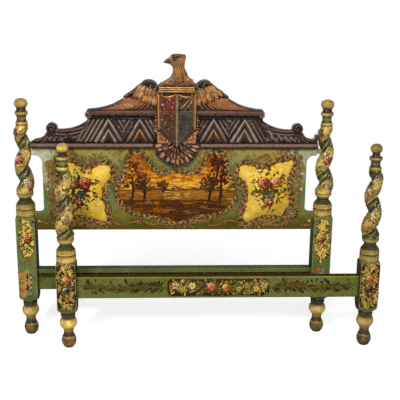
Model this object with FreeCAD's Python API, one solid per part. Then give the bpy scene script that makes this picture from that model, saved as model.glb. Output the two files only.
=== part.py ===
"""A carved and painted bed: its headboard, and its footboard standing in front and to the right."""

import FreeCAD
import Part
import math
import os

V = FreeCAD.Vector

# All sizes are in millimetres. Z is up, X runs along the boards, and the fronts face minus Y.

# Where the two boards stand
POST_SPACING = 1428.0       # between the axes of a board's two posts
BOARD_GAP = 158.0           # footboard axes in front of the headboard axes
BOARD_SHIFT = 204.0         # footboard moved to the right

# Turned feet
BUN_FLAT_R = 20.0
BUN_R = 34.5
BUN_RIM_R = 28.0            # where the bun meets the ankle
BUN_HEIGHT = 60.0
ANKLE_R = 23.0
ANKLE_HEIGHT = 40.0
BULB_FOOT_R = 29.0          # where the ankle meets the bulb
BULB_R = 41.5
BULB_HEIGHT = 50.0
NECK_R = 31.0
NECK_RING_R = 34.5          # swell of the ring below the block
NECK_HEIGHT = 30.0

# Square blocks of the posts
BLOCK_SIDE = 90.0
BLOCK_SHOULDER = 34.0       # height of the rounded lower end
BLOCK_BEVEL = 10.0          # height of the bevelled upper end
HEAD_BLOCK_HEIGHT = 432.0
FOOT_BLOCK_HEIGHT = 254.0

# Turned collar between block and shaft
COLLAR_R = 46.0
COLLAR_DRUM = 32.0
COLLAR_GROOVE = 3.0
COLLAR_GROOVE_DEPTH = 1.5
COLLAR_RING = 26.0
COLLAR_CONE = 17.0
COLLAR_NECK = 8.0
COLLAR_NECK_R = 28.5
SHAFT_SEAT = 28.0           # height of the disc that carries the shaft
SHAFT_SEAT_R = 39.5

# Corkscrew shafts
SHAFT_LENGTH = 322.0
SHAFT_FOOT_R = 40.0
SHAFT_TOP_R = 28.5
TWIST_PITCH = 152.0
TWIST_BULGE = 7.0           # the section leans out to one side by this
TWIST_GROOVE = 11.0         # and is hollowed on the other side by this
TWIST_SPREAD = 0.85         # half width of the hollow, in radians
TWIST_FADE = 26.0           # length over which the twist dies out at each end
TWIST_SIDES = 28            # points round a section
TWIST_ROWS = 16             # sections in a turn
HEAD_TWIST_START = 49.0     # height above the shaft's foot where it leans to the right
FOOT_TWIST_START = 130.0
SPIGOT_R = 13.0             # round tenons at both ends
SPIGOT_LENGTH = 38.0

# Finials
FINIAL_RING_R = 28.5
FINIAL_RING = 18.0
FINIAL_NECK_R = 21.5
FINIAL_NECK = 28.0
FINIAL_LIP = 2.5            # the neck and the waist flare by this at their ends
FINIAL_DISC_R = 30.5
FINIAL_DISC = 20.0
HEAD_WAIST_R = 21.5
FOOT_WAIST_R = 17.5
FINIAL_WAIST = 18.0
HEAD_KNOB_R = 31.0
FOOT_KNOB_R = 27.0
FINIAL_KNOB = 40.0
FINIAL_FLAT_R = 4.0

# Rails
RAIL_THICK = 40.0
RAIL_CHAMFER = 3.0
HEAD_RAIL_BOTTOM = 236.0
HEAD_RAIL_HEIGHT = 110.0
HEAD_RAIL_NOSE = 7.0        # the top edge stands proud in front by this
HEAD_RAIL_NOSE_HEIGHT = 16.0
FOOT_RAIL_BOTTOM = 252.0
FOOT_RAIL_HEIGHT = 106.0
RAIL_TENON = 46.0
RAIL_TENON_THICK = 20.0
RAIL_TENON_SHOULDER = 14.0  # wood left above and below the tenon

# Painted panel
PANEL_DROP = 70.0           # panel's lower edge below the block's top
PANEL_HEIGHT = 402.0
PANEL_THICK = 28.0
PANEL_FRONT = -18.0         # front plane, from the post axes
SLOT_WIDTH = 44.0           # open slot between the panel's side and the post
LOWER_EAR = 86.0
UPPER_EAR = 37.0
SLOT_LOWER_R = 26.0
SLOT_UPPER_R = 36.0
PANEL_TENON = 30.0
PANEL_TENON_THICK = 14.0
PANEL_TENON_SHOULDER = 10.0
UPPER_TENON = 18.0
UPPER_TENON_SHOULDER = 7.0

# Crest: heights are from the panel's top edge
CREST_HEIGHT = 178.0
BASE_HEIGHT = 24.0
BASE_DEPTH = 24.0
LEDGE_HEIGHT = 35.0
LEDGE_DEPTH = 28.0
LEDGE_REACH = 409.0         # from the middle to the ledge's outer end
SCROLL_INSET = 98.0         # scroll centre in from the crest's end
SCROLL_RISE = 90.0
SCROLL_R = 26.0
COVE_LOW = 86.0             # top edge beside the scroll
COVE_HIGH = 128.0           # top edge where it meets the ledge end
END_COVE_LOW = 40.0
END_SCROLL_RISE = 64.0
END_SCROLL_WIDTH = 13.0
END_SCROLL_TURN = 16.0
END_COVE_RUN = 10.0
LEFT_END_RISE = 28.0        # the left end has no small scroll
GABLE_FIRST = 172.0         # carved gables either side of the middle
GABLE_STEP = 145.0
GABLE_HALF = 66.0
GABLE_BAND = 14.0
GABLE_RELIEF = 7.0
GABLE_GAP = 3.0             # plain wood between gable and mouldings

# Eagle: x from its own middle, heights from the top of the crest board
EAGLE_SHIFT = 6.0           # hand-carved, a little right of the middle
EAGLE_HALF = 92.0           # half width where the wings meet the breast
EAGLE_FRONT = -46.0
EAGLE_BACK = 8.0
EAGLE_BREAST = 118.0
EAGLE_HEAD_THICK = 40.0
EAGLE_CREST = 258.0         # top of the head
EAGLE_BEAK = -63.0
WING_FRONT = -40.0
WING_COVERT_FRONT = -46.0
WING_TIP_INSET = 4.0        # wing tip in from the ledge's outer end
WING_TOP = 141.0
WING_TOP_X = 126.0
TAIL_R = 112.0
TAIL_FEATHERS = 9
TAIL_THICK = 26.0
TAIL_STEP = 7.0             # inner row of feathers stands proud by this
TAIL_INNER_R = 74.0
TAIL_NOTCH = 0.93           # notches between feathers lie at this share of the radius

# Shield and the bar above it
SHIELD_HALF = 87.0
SHIELD_TOP = 80.0           # above the crest board's top
SHIELD_SIDE = 160.0         # straight sides
SHIELD_POINT = 84.0         # pointed lower part
SHIELD_THICK = 26.0
SHIELD_CROWN = 11.0         # the front bows out by this
SHIELD_BORDER = 11.0
SHIELD_FIELD = 3.0          # fields lie below the border by this
SHIELD_RIDGE = 9.0
SHIELD_DIP = 8.0            # the top edge dips by this either side of the middle
CAP_GAP = 8.0
CAP_HEIGHT = 26.0
CAP_HALF = 82.0
CAP_THICK = 20.0

# Battens on the back
BATTEN_X = 292.0
BATTEN_WIDTH = 60.0
BATTEN_THICK = 22.0
BATTEN_INSET = 34.0         # ends in from the panel's foot and the crest's top
BATTEN_CHAMFER = 3.0
BATTEN_SCREW_INSET = 30.0

# Fastenings
SCREW_R = 2.2
SCREW_HEAD_R = 4.4
SCREW_HEAD = 2.6
BATTEN_SCREW = 40.0
PLATE_SCREW = 24.0
PEG_R = 5.0
PEG_LENGTH = 62.0
PEG_SHELTER = 12.0          # peg's centre from the tenon's shoulder
DOWEL_R = 6.0
DOWEL_REACH = 40.0          # into each of the two pieces
NAIL_R = 1.5
NAIL_BITE = 7.0             # nail's reach into the board behind the moulding
NAIL_HEAD_R = 4.0
NAIL_HEAD = 2.4
NAIL_PITCH = 63.0
NAIL_INSET = 22.0

# Iron plates that take the hooks of the side rails
PLATE_WIDTH = 26.0
PLATE_HEIGHT = 124.0
PLATE_THICK = 3.0
HOOK_WIDTH = 9.0
HOOK_LENGTH = 30.0
HOOK_PITCH = 60.0
HOOK_DEPTH = 30.0
HOOK_ROOM = 1.5             # the pocket is wider than the slot by this all round
PLATE_MARGIN = 7.0          # screw centre to the plate's end
HEAD_PLATE_DROP = 8.0       # head plates sit this far below the middle of their rail

# Clearances
FIT = 0.15                  # glued and driven fits, all round
SEAT = 0.3                  # end play of a tenon or dowel in its hole
SHAFT_CLEAR = 1.0           # crest and panel ears to the twisted shaft

# Derived places
HALF = POST_SPACING / 2.0
BLOCK_FOOT = BUN_HEIGHT + ANKLE_HEIGHT + BULB_HEIGHT + NECK_HEIGHT
HEAD_BLOCK_TOP = BLOCK_FOOT + HEAD_BLOCK_HEIGHT
FOOT_BLOCK_TOP = BLOCK_FOOT + FOOT_BLOCK_HEIGHT
COLLAR_HEIGHT = COLLAR_DRUM + COLLAR_GROOVE + COLLAR_RING + COLLAR_CONE + COLLAR_NECK + SHAFT_SEAT
PANEL_BOTTOM = HEAD_BLOCK_TOP - PANEL_DROP
PANEL_TOP = PANEL_BOTTOM + PANEL_HEIGHT
PANEL_BACK = PANEL_FRONT + PANEL_THICK
CREST_TOP = PANEL_TOP + CREST_HEIGHT
LEDGE_BOTTOM = CREST_TOP - LEDGE_HEIGHT
HEAD_SHAFT_FOOT = HEAD_BLOCK_TOP + COLLAR_HEIGHT
FOOT_SHAFT_FOOT = FOOT_BLOCK_TOP + COLLAR_HEIGHT
EAR_END = HALF - max(BLOCK_SIDE / 2.0, COLLAR_R)
PANEL_SIDE = HALF - BLOCK_SIDE / 2.0 - SLOT_WIDTH
HEAD_PLATE_Z = HEAD_RAIL_BOTTOM + HEAD_RAIL_HEIGHT / 2.0 - HEAD_PLATE_DROP
FOOT_PLATE_Z = FOOT_RAIL_BOTTOM + FOOT_RAIL_HEIGHT / 2.0


def shaft_radius(height):
    """Mean radius of a shaft at a height above its foot."""
    share = height / SHAFT_LENGTH
    return SHAFT_FOOT_R + (SHAFT_TOP_R - SHAFT_FOOT_R) * share


# The crest and the upper ears stop just short of the widest reach of the shafts beside them.
EAR_HEIGHT_ON_SHAFT = PANEL_TOP - UPPER_EAR - HEAD_SHAFT_FOOT
CREST_END = HALF - shaft_radius(EAR_HEIGHT_ON_SHAFT) - TWIST_BULGE - SHAFT_CLEAR

nodes = {}


def wire(start, steps, put):
    """Closed outline: a step is a point, or a (middle, end) pair for an arc."""
    edges = []
    here = start
    for step in steps + [start]:
        if isinstance(step[0], tuple):
            middle, end = step
            edges.append(Part.Arc(put(here), put(middle), put(end)).toShape())
        else:
            end = step
            if math.dist(here, end) < 1e-6:
                continue
            edges.append(Part.LineSegment(put(here), put(end)).toShape())
        here = end
    return Part.Wire(edges)


def turned(start, steps):
    """Turned piece about the Z axis from an outline of radii and heights."""
    face = Part.Face(wire(start, steps, lambda p: V(p[0], 0, p[1])))
    return face.revolve(V(0, 0, 0), V(0, 0, 1), 360)


def board(start, steps, front, back):
    """Flat piece sawn to an outline in X and Z."""
    face = Part.Face(wire(start, steps, lambda p: V(p[0], front, p[1])))
    return face.extrude(V(0, back - front, 0))


def strip(start, steps, left, right):
    """Moulding with a section in Y and Z, running along X."""
    face = Part.Face(wire(start, steps, lambda p: V(left, p[0], p[1])))
    return face.extrude(V(right - left, 0, 0))


def box(x0, x1, y0, y1, z0, z1):
    """Block between two corners, given in any order."""
    low = V(min(x0, x1), min(y0, y1), min(z0, z1))
    return Part.makeBox(abs(x1 - x0), abs(y1 - y0), abs(z1 - z0), low)


def rod(radius, start, way, length):
    """Round rod or bore from a start point along a direction."""
    return Part.makeCylinder(radius, length, V(*start), V(*way))


def joined(shapes):
    """One solid from several that meet."""
    whole = shapes[0]
    if len(shapes) > 1:
        whole = whole.fuse(shapes[1:])
    return whole.removeSplitter()


def cut(shape, tools):
    """Shape with holes and recesses taken out."""
    if not tools:
        return shape
    return shape.cut(tools)


def moved(shape, x, y, z):
    """Copy of a shape at another place."""
    copy = shape.copy()
    copy.translate(V(x, y, z))
    return copy


def keep(name, shape, board_name):
    """Put a finished piece on its board's place and file it under its name."""
    side = -1.0 if board_name == "head" else 1.0
    nodes[name] = moved(shape, side * BOARD_SHIFT / 2.0, -side * BOARD_GAP / 2.0, 0)


def turned_foot():
    """Bun foot, hollow ankle, bulb and ringed neck."""
    bun = BUN_HEIGHT
    bulb = bun + ANKLE_HEIGHT
    neck = bulb + BULB_HEIGHT
    steps = [
        (BUN_FLAT_R, 0.0),
        ((BUN_R, bun / 2.0), (BUN_RIM_R, bun)),
        ((ANKLE_R, (bun + bulb) / 2.0), (BULB_FOOT_R, bulb)),
        ((BULB_R, (bulb + neck) / 2.0), (NECK_R, neck)),
        ((NECK_RING_R, (neck + BLOCK_FOOT) / 2.0), (NECK_R, BLOCK_FOOT)),
        (0.0, BLOCK_FOOT),
    ]
    return turned((0.0, 0.0), steps)


def post_block(top):
    """Square block, its lower end rounded down to the neck and its upper end bevelled."""
    half = BLOCK_SIDE / 2.0
    corner = half * math.sqrt(2.0) + 0.5
    lift = BLOCK_SHOULDER
    bend = ((corner + NECK_R) / 2.0 + 5.0, BLOCK_FOOT + lift * 0.36)
    steps = [
        (NECK_R, BLOCK_FOOT),
        (bend, (corner, BLOCK_FOOT + lift)),
        (corner, top - BLOCK_BEVEL),
        (COLLAR_R, top),
        (0.0, top),
    ]
    envelope = turned((0.0, BLOCK_FOOT), steps)
    return box(-half, half, -half, half, BLOCK_FOOT, top).common(envelope)


def post_collar(top):
    """Drum, groove, ring, cone and neck, and the disc that carries the shaft."""
    groove = top + COLLAR_DRUM
    ring = groove + COLLAR_GROOVE
    cone = ring + COLLAR_RING
    neck = cone + COLLAR_CONE
    seat = neck + COLLAR_NECK
    end = top + COLLAR_HEIGHT
    inner = COLLAR_R - COLLAR_GROOVE_DEPTH
    steps = [
        (COLLAR_R - 1.0, top),
        (COLLAR_R, top + 2.0),
        (COLLAR_R, groove),
        (inner, groove),
        (inner, ring),
        ((COLLAR_R - 0.4, ring + COLLAR_RING * 0.45), (COLLAR_R - 5.0, cone)),
        (COLLAR_NECK_R, neck),
        (COLLAR_NECK_R, seat),
        (SHAFT_SEAT_R - 3.0, seat + SHAFT_SEAT * 0.35),
        ((SHAFT_SEAT_R, seat + SHAFT_SEAT * 0.6), (SHAFT_SEAT_R - 1.0, end)),
        (0.0, end),
    ]
    return turned((0.0, top), steps)


def hook_pockets(side_sign, face, into, plate_z):
    """Recess for the iron plate and the two pockets behind its slots, on one face of a post."""
    x = side_sign * HALF
    reach = HOOK_LENGTH / 2.0 + HOOK_ROOM
    half = HOOK_WIDTH / 2.0 + HOOK_ROOM
    tools = []
    for z in (plate_z - HOOK_PITCH / 2.0, plate_z + HOOK_PITCH / 2.0):
        tools.append(box(x - half, x + half, face, face + into * HOOK_DEPTH, z - reach, z + reach))
    wide = PLATE_WIDTH / 2.0 + FIT
    high = PLATE_HEIGHT / 2.0 + FIT
    tools.append(box(x - wide, x + wide, face, face + into * PLATE_THICK, plate_z - high, plate_z + high))
    return tools


def plate_screw_heights(plate_z):
    """The plate is screwed at both ends and in the middle."""
    end = PLATE_HEIGHT / 2.0 - PLATE_MARGIN
    return (plate_z - end, plate_z, plate_z + end)


def rail_peg_heights(bottom, height):
    """Two pegs through each rail tenon."""
    middle = bottom + height / 2.0
    spread = height / 2.0 - RAIL_TENON_SHOULDER - PEG_R * 3.0
    return (middle - spread, middle + spread)


def ear_peg_height():
    """One peg through each lower ear's tenon."""
    return PANEL_BOTTOM + (min(LOWER_EAR, PANEL_DROP) - BLOCK_BEVEL) / 2.0


def ear_tenon(play):
    """Heights of the lower ears' tenons, which stay inside the block."""
    low = PANEL_BOTTOM + PANEL_TENON_SHOULDER - play
    high = PANEL_BOTTOM + min(LOWER_EAR, PANEL_DROP - BLOCK_BEVEL) - PANEL_TENON_SHOULDER + play
    return low, high


def peg_places(board_name):
    """Centres of the pegs on the right-hand post, measured from the board's middle."""
    x = HALF - BLOCK_SIDE / 2.0 + PEG_SHELTER
    if board_name == "foot":
        return [(x, z) for z in rail_peg_heights(FOOT_RAIL_BOTTOM, FOOT_RAIL_HEIGHT)]
    places = [(x, z) for z in rail_peg_heights(HEAD_RAIL_BOTTOM, HEAD_RAIL_HEIGHT)]
    places.append((x, ear_peg_height()))
    return places


def peg_bores(board_name, side_sign):
    """Bores driven from the back face into the posts and across the tenons."""
    back = BLOCK_SIDE / 2.0
    bores = []
    for x, z in peg_places(board_name):
        start = (side_sign * x, back + 1.0, z)
        bores.append(rod(PEG_R + FIT, start, (0, -1, 0), PEG_LENGTH + SEAT + 1.0))
    return bores


def make_post(board_name, side_sign):
    """One post: foot, block and collar from one length of wood, with its mortises and bores."""
    head = board_name == "head"
    top = HEAD_BLOCK_TOP if head else FOOT_BLOCK_TOP
    body = joined([turned_foot(), post_block(top), post_collar(top)])
    body = moved(body, side_sign * HALF, 0, 0)
    seat = top + COLLAR_HEIGHT
    axis = (side_sign * HALF, 0, seat + 1.0)
    tools = [rod(SPIGOT_R + FIT, axis, (0, 0, -1), SPIGOT_LENGTH + SEAT + 1.0)]

    bottom = HEAD_RAIL_BOTTOM if head else FOOT_RAIL_BOTTOM
    height = HEAD_RAIL_HEIGHT if head else FOOT_RAIL_HEIGHT
    inner = side_sign * (HALF - BLOCK_SIDE / 2.0)
    deep = inner + side_sign * (RAIL_TENON + SEAT)
    thick = RAIL_TENON_THICK / 2.0 + FIT
    low = bottom + RAIL_TENON_SHOULDER - FIT
    high = bottom + height - RAIL_TENON_SHOULDER + FIT
    tools.append(box(inner - side_sign, deep, -thick, thick, low, high))

    if head:
        middle = PANEL_FRONT + PANEL_THICK / 2.0
        thick = PANEL_TENON_THICK / 2.0 + FIT
        deep = side_sign * (EAR_END + PANEL_TENON + SEAT)
        low, high = ear_tenon(FIT)
        tools.append(box(inner - side_sign * 2.0, deep, middle - thick, middle + thick, low, high))

    tools.extend(peg_bores(board_name, side_sign))
    face = -BLOCK_SIDE / 2.0 if head else BLOCK_SIDE / 2.0
    into = 1.0 if head else -1.0
    plate_z = HEAD_PLATE_Z if head else FOOT_PLATE_Z
    tools.extend(hook_pockets(side_sign, face, into, plate_z))
    for z in plate_screw_heights(plate_z):
        start = (side_sign * HALF, face, z)
        tools.append(rod(SCREW_R + FIT, start, (0, into, 0), PLATE_SCREW + SEAT))
    return cut(body, tools)


def twist_row(height, start):
    """Points round the shaft at a height, from the bottom of its groove right round to it again."""
    radius = shaft_radius(height)
    rise = min(height, SHAFT_LENGTH - height) / TWIST_FADE
    fade = max(0.0, min(1.0, rise))
    fade = fade * fade * (3.0 - 2.0 * fade)
    lean = 2.0 * math.pi * (height - start) / TWIST_PITCH
    points = []
    for i in range(TWIST_SIDES + 1):
        turn = 2.0 * math.pi * i / TWIST_SIDES - math.pi
        apart = math.pi - abs(turn)
        hollow = TWIST_GROOVE * math.exp(-(apart / TWIST_SPREAD) ** 2)
        reach = radius + fade * (TWIST_BULGE * math.cos(turn) - hollow)
        points.append(V(reach * math.cos(lean + turn), reach * math.sin(lean + turn), height))
    points[-1] = points[0]
    return points


def make_shaft(start):
    """Corkscrew shaft standing on the origin, with a round tenon at each end."""
    turns = SHAFT_LENGTH / TWIST_PITCH
    steps = max(8, int(math.ceil(turns * TWIST_ROWS)))
    skin = Part.BSplineSurface()
    skin.interpolate([twist_row(SHAFT_LENGTH * i / steps, start) for i in range(steps + 1)])
    side = skin.toShape()
    rims = [edge for edge in side.Edges if abs(edge.BoundBox.ZLength) < 0.01]
    caps = [Part.Face(Part.Wire([edge])) for edge in rims]
    shell = Part.Shell([side] + caps)
    shell.sewShape()
    twist = Part.Solid(shell)
    if twist.Volume < 0:
        twist.reverse()
    lower = rod(SPIGOT_R, (0, 0, -SPIGOT_LENGTH), (0, 0, 1), SPIGOT_LENGTH)
    upper = rod(SPIGOT_R, (0, 0, SHAFT_LENGTH), (0, 0, 1), SPIGOT_LENGTH)
    return twist.fuse([lower, upper])


def upper_tenon(side_sign, play):
    """Tenon of an upper ear, which goes into the twisted shaft."""
    middle = PANEL_FRONT + PANEL_THICK / 2.0
    thick = PANEL_TENON_THICK / 2.0 + play
    low = PANEL_TOP - UPPER_EAR + UPPER_TENON_SHOULDER - play
    high = PANEL_TOP - UPPER_TENON_SHOULDER + play
    deep = CREST_END + SHAFT_CLEAR + TWIST_BULGE + UPPER_TENON
    far = deep + (SEAT if play > 0 else 0.0)
    near = CREST_END - 1.0
    return box(side_sign * near, side_sign * far, middle - thick, middle + thick, low, high)


def make_finial(waist_r, knob_r):
    """Turned finial standing on the origin, bored below for the shaft's tenon."""
    neck = FINIAL_RING
    disc = neck + FINIAL_NECK
    waist = disc + FINIAL_DISC
    knob = waist + FINIAL_WAIST
    top = knob + FINIAL_KNOB
    lip = FINIAL_NECK_R + FINIAL_LIP
    steps = [
        (SHAFT_TOP_R - 3.0, 0.0),
        ((FINIAL_RING_R, FINIAL_RING / 2.0), (lip, neck)),
        ((FINIAL_NECK_R, neck + FINIAL_NECK / 2.0), (lip, disc)),
        ((FINIAL_DISC_R, disc + FINIAL_DISC / 2.0), (waist_r + FINIAL_LIP, waist)),
        ((waist_r, waist + FINIAL_WAIST / 2.0), (waist_r + FINIAL_LIP, knob)),
        ((knob_r, knob + FINIAL_KNOB * 0.5), (knob_r * 0.7, knob + FINIAL_KNOB * 0.86)),
        ((knob_r * 0.42, knob + FINIAL_KNOB * 0.96), (FINIAL_FLAT_R, top)),
        (0.0, top),
    ]
    body = turned((0.0, 0.0), steps)
    bore = rod(SPIGOT_R + FIT, (0, 0, -1.0), (0, 0, 1), SPIGOT_LENGTH + SEAT + 1.0)
    return cut(body, [bore])


def make_rail(board_name):
    """Rail between two posts, with a tenon and two peg holes at each end."""
    head = board_name == "head"
    bottom = HEAD_RAIL_BOTTOM if head else FOOT_RAIL_BOTTOM
    height = HEAD_RAIL_HEIGHT if head else FOOT_RAIL_HEIGHT
    top = bottom + height
    half = RAIL_THICK / 2.0
    end = HALF - BLOCK_SIDE / 2.0
    edge = RAIL_CHAMFER
    steps = [(half - edge, bottom), (half, bottom + edge), (half, top - edge), (half - edge, top)]
    if head:
        low = top - HEAD_RAIL_NOSE_HEIGHT
        nose = (-half - HEAD_RAIL_NOSE, (low + top) / 2.0)
        steps += [(-half, top), (nose, (-half, low))]
    else:
        steps += [(-half + edge, top), (-half, top - edge)]
    steps += [(-half, bottom + edge)]
    body = strip((-half + edge, bottom), steps, -end, end)
    thick = RAIL_TENON_THICK / 2.0
    low = bottom + RAIL_TENON_SHOULDER
    high = top - RAIL_TENON_SHOULDER
    far = end + RAIL_TENON
    whole = joined([body, box(-far, far, -thick, thick, low, high)])
    return cut(whole, peg_bores(board_name, 1.0) + peg_bores(board_name, -1.0))


def panel_half(side_sign):
    """Half of the painted panel: a side slot between a lower and an upper ear."""
    s = side_sign
    foot = PANEL_BOTTOM + LOWER_EAR
    roof = PANEL_TOP - UPPER_EAR
    side = PANEL_SIDE
    r, q = SLOT_LOWER_R, SLOT_UPPER_R
    c = 1.0 - math.sqrt(0.5)
    steps = [
        (s * EAR_END, PANEL_BOTTOM),
        (s * EAR_END, foot),
        (s * (side + r), foot),
        ((s * (side + r * c), foot + r * c), (s * side, foot + r)),
        (s * side, roof - q),
        ((s * (side + q * c), roof - q * c), (s * (side + q), roof)),
        (s * CREST_END, roof),
        (s * CREST_END, PANEL_TOP),
        (0.0, PANEL_TOP),
    ]
    return board((0.0, PANEL_BOTTOM), steps, PANEL_FRONT, PANEL_BACK)


def dowel_xs():
    """Places of the upright dowels between panel and crest board."""
    return [s * x for x in (CREST_END - SCROLL_INSET, BATTEN_X / 2.0) for s in (-1, 1)]


def wing_dowel_xs():
    """Places of the upright dowels between crest board and wings."""
    reach = LEDGE_REACH - EAGLE_HALF
    return [EAGLE_HALF + reach * 0.12, EAGLE_HALF + reach * 0.5]


def upright_bores(places, height):
    """Bores for upright dowels that cross a joint at a height."""
    middle = PANEL_FRONT + PANEL_THICK / 2.0
    reach = DOWEL_REACH + SEAT
    return [rod(DOWEL_R + FIT, (x, middle, height - reach), (0, 0, 1), 2.0 * reach) for x in places]


def batten_screw_places():
    """Screws of the battens, in the panel and in the crest board."""
    low = PANEL_BOTTOM + BATTEN_INSET
    high = CREST_TOP - BATTEN_INSET
    inset = BATTEN_SCREW_INSET
    panel = [low + inset, (low + PANEL_TOP) / 2.0, PANEL_TOP - inset]
    crest = [PANEL_TOP + inset, high - inset]
    return [(s * BATTEN_X, z) for s in (-1, 1) for z in panel + crest]


def batten_screw_bores():
    """Screw holes in from the battens' back faces."""
    back = PANEL_BACK + BATTEN_THICK
    return [rod(SCREW_R + FIT, (x, back, z), (0, -1, 0), BATTEN_SCREW + SEAT)
            for x, z in batten_screw_places()]


def eagle_dowel_places():
    """Level dowels: start point and length, running forward from inside the board or panel."""
    tail = PANEL_TOP - TAIL_R * 0.3
    body = PANEL_TOP + BASE_HEIGHT + (CREST_HEIGHT - BASE_HEIGHT) * 0.45
    back = PANEL_FRONT + PANEL_THICK / 2.0
    whole = PANEL_THICK / 2.0
    places = []
    for x in (EAGLE_SHIFT - TAIL_R * 0.25, EAGLE_SHIFT + TAIL_R * 0.25):
        places.append((x, back, tail, whole + TAIL_THICK / 2.0))
    for x in (EAGLE_SHIFT - EAGLE_HALF / 2.0, EAGLE_SHIFT + EAGLE_HALF / 2.0):
        places.append((x, back, body, whole + (PANEL_FRONT - EAGLE_FRONT) + SHIELD_THICK * 0.35))
    return places


def eagle_bores():
    """Bores of the level dowels, with play at both ends."""
    return [rod(DOWEL_R + FIT, (x, y + SEAT, z), (0, -1, 0), length + 2.0 * SEAT)
            for x, y, z, length in eagle_dowel_places()]


def make_panel():
    """Painted panel with its four tenons and the bores for pegs, dowels and screws."""
    parts = [panel_half(1.0), panel_half(-1.0)]
    middle = PANEL_FRONT + PANEL_THICK / 2.0
    thick = PANEL_TENON_THICK / 2.0
    low, high = ear_tenon(0.0)
    far = EAR_END + PANEL_TENON
    for s in (-1.0, 1.0):
        parts.append(box(s * (EAR_END - 1.0), s * far, middle - thick, middle + thick, low, high))
        parts.append(upper_tenon(s, 0.0))
    tools = upright_bores(dowel_xs(), PANEL_TOP) + batten_screw_bores() + eagle_bores()
    tools += peg_bores("head", 1.0) + peg_bores("head", -1.0)
    return cut(joined(parts), tools)


def crest_half(side_sign):
    """Half of the crest board: end, cove, scroll, long cove and the step up to the ledge."""
    s = side_sign
    base = PANEL_TOP
    x = CREST_END - SCROLL_INSET
    z = base + SCROLL_RISE
    r = SCROLL_R
    outer = (x + r * math.cos(-0.6), z + r * math.sin(-0.6))
    inner = (x - r * math.cos(0.1), base + COVE_LOW)
    steps = [(CREST_END, base)]
    if s > 0:
        tip = base + END_SCROLL_RISE
        lean = CREST_END - END_SCROLL_WIDTH
        turn = END_SCROLL_TURN
        bend = (lean + turn * 0.2, tip - turn * 0.2)
        steps += [(CREST_END, tip), (bend, (lean, tip - turn))]
        low = (lean - END_COVE_RUN, base + END_COVE_LOW)
        steps += [low]
    else:
        steps += [(CREST_END, base + LEFT_END_RISE)]
        low = (CREST_END - END_SCROLL_WIDTH - END_COVE_RUN, base + END_COVE_LOW)
        steps += [low]
    bend = ((low[0] + outer[0]) / 2.0 - 4.0, (low[1] + outer[1]) / 2.0 - 9.0)
    steps += [(bend, outer)]
    steps += [((x + r * math.cos(1.2), z + r * math.sin(1.2)), inner)]
    rise = base + COVE_HIGH
    middle = ((inner[0] + LEDGE_REACH) / 2.0, base + COVE_LOW + (COVE_HIGH - COVE_LOW) * 0.16)
    steps += [(middle, (LEDGE_REACH, rise)), (LEDGE_REACH, CREST_TOP), (0.0, CREST_TOP)]
    mirrored = []
    for step in steps:
        if isinstance(step[0], tuple):
            mirrored.append(tuple((s * p[0], p[1]) for p in step))
        else:
            mirrored.append((s * step[0], step[1]))
    return board((0.0, base), mirrored, PANEL_FRONT, PANEL_BACK)


def gable(x):
    """Carved gable on the crest: an outer chevron and a small filled triangle inside it."""
    low = PANEL_TOP + BASE_HEIGHT + GABLE_GAP
    high = LEDGE_BOTTOM - GABLE_GAP
    tall = high - low
    slope = math.hypot(GABLE_HALF, tall)
    drop = GABLE_BAND * slope / GABLE_HALF
    inset = GABLE_BAND * slope / tall
    front = PANEL_FRONT - GABLE_RELIEF
    steps = [
        (x + GABLE_HALF, low),
        (x, high),
        (x - GABLE_HALF, low),
        (x - GABLE_HALF + inset, low),
        (x, high - drop),
        (x + GABLE_HALF - inset, low),
    ]
    chevron = board(steps[-1], steps[:-1], front, PANEL_FRONT)
    inner = GABLE_HALF - 2.0 * inset
    triangle = board((x - inner, low), [(x + inner, low), (x, low + inner / GABLE_HALF * tall)],
                     front, PANEL_FRONT)
    return [chevron, triangle]


def moulding_spans():
    """Left and right ends of the applied mouldings, which stop beside the eagle."""
    tail = TAIL_R + SEAT
    body = EAGLE_HALF + SEAT
    return {
        "base_moulding_left": (-CREST_END, EAGLE_SHIFT - tail),
        "base_moulding_right": (EAGLE_SHIFT + tail, CREST_END),
        "ledge_left": (-LEDGE_REACH, EAGLE_SHIFT - body),
        "ledge_right": (EAGLE_SHIFT + body, LEDGE_REACH),
    }


def nail_places():
    """Domed nails along each applied moulding: x, front plane, height and length."""
    places = []
    for name, (left, right) in moulding_spans().items():
        base = name.startswith("base")
        depth = BASE_DEPTH if base else LEDGE_DEPTH
        low = PANEL_TOP if base else LEDGE_BOTTOM
        height = BASE_HEIGHT * 0.4 if base else LEDGE_HEIGHT * 0.62
        run = right - left - 2.0 * NAIL_INSET
        count = max(2, int(run / NAIL_PITCH) + 1)
        for i in range(count):
            x = left + NAIL_INSET + run * i / (count - 1)
            places.append((x, PANEL_FRONT - depth, low + height, depth + NAIL_BITE))
    return places


def nail_bores():
    """Nail holes, from in front of the mouldings into the crest board."""
    return [rod(NAIL_R + FIT, (x, y - 1.0, z), (0, 1, 0), length + SEAT + 1.0)
            for x, y, z, length in nail_places()]


def make_crest():
    """Crest board with its carved gables and its bores."""
    parts = [crest_half(1.0), crest_half(-1.0)]
    for i in range(2):
        for s in (-1.0, 1.0):
            parts += gable(s * (GABLE_FIRST + GABLE_STEP * i) + EAGLE_SHIFT)
    tools = upright_bores(dowel_xs(), PANEL_TOP) + batten_screw_bores() + eagle_bores() + nail_bores()
    tools += upright_bores([EAGLE_SHIFT + s * x for x in wing_dowel_xs() for s in (-1, 1)], CREST_TOP)
    return cut(joined(parts), tools)


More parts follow.
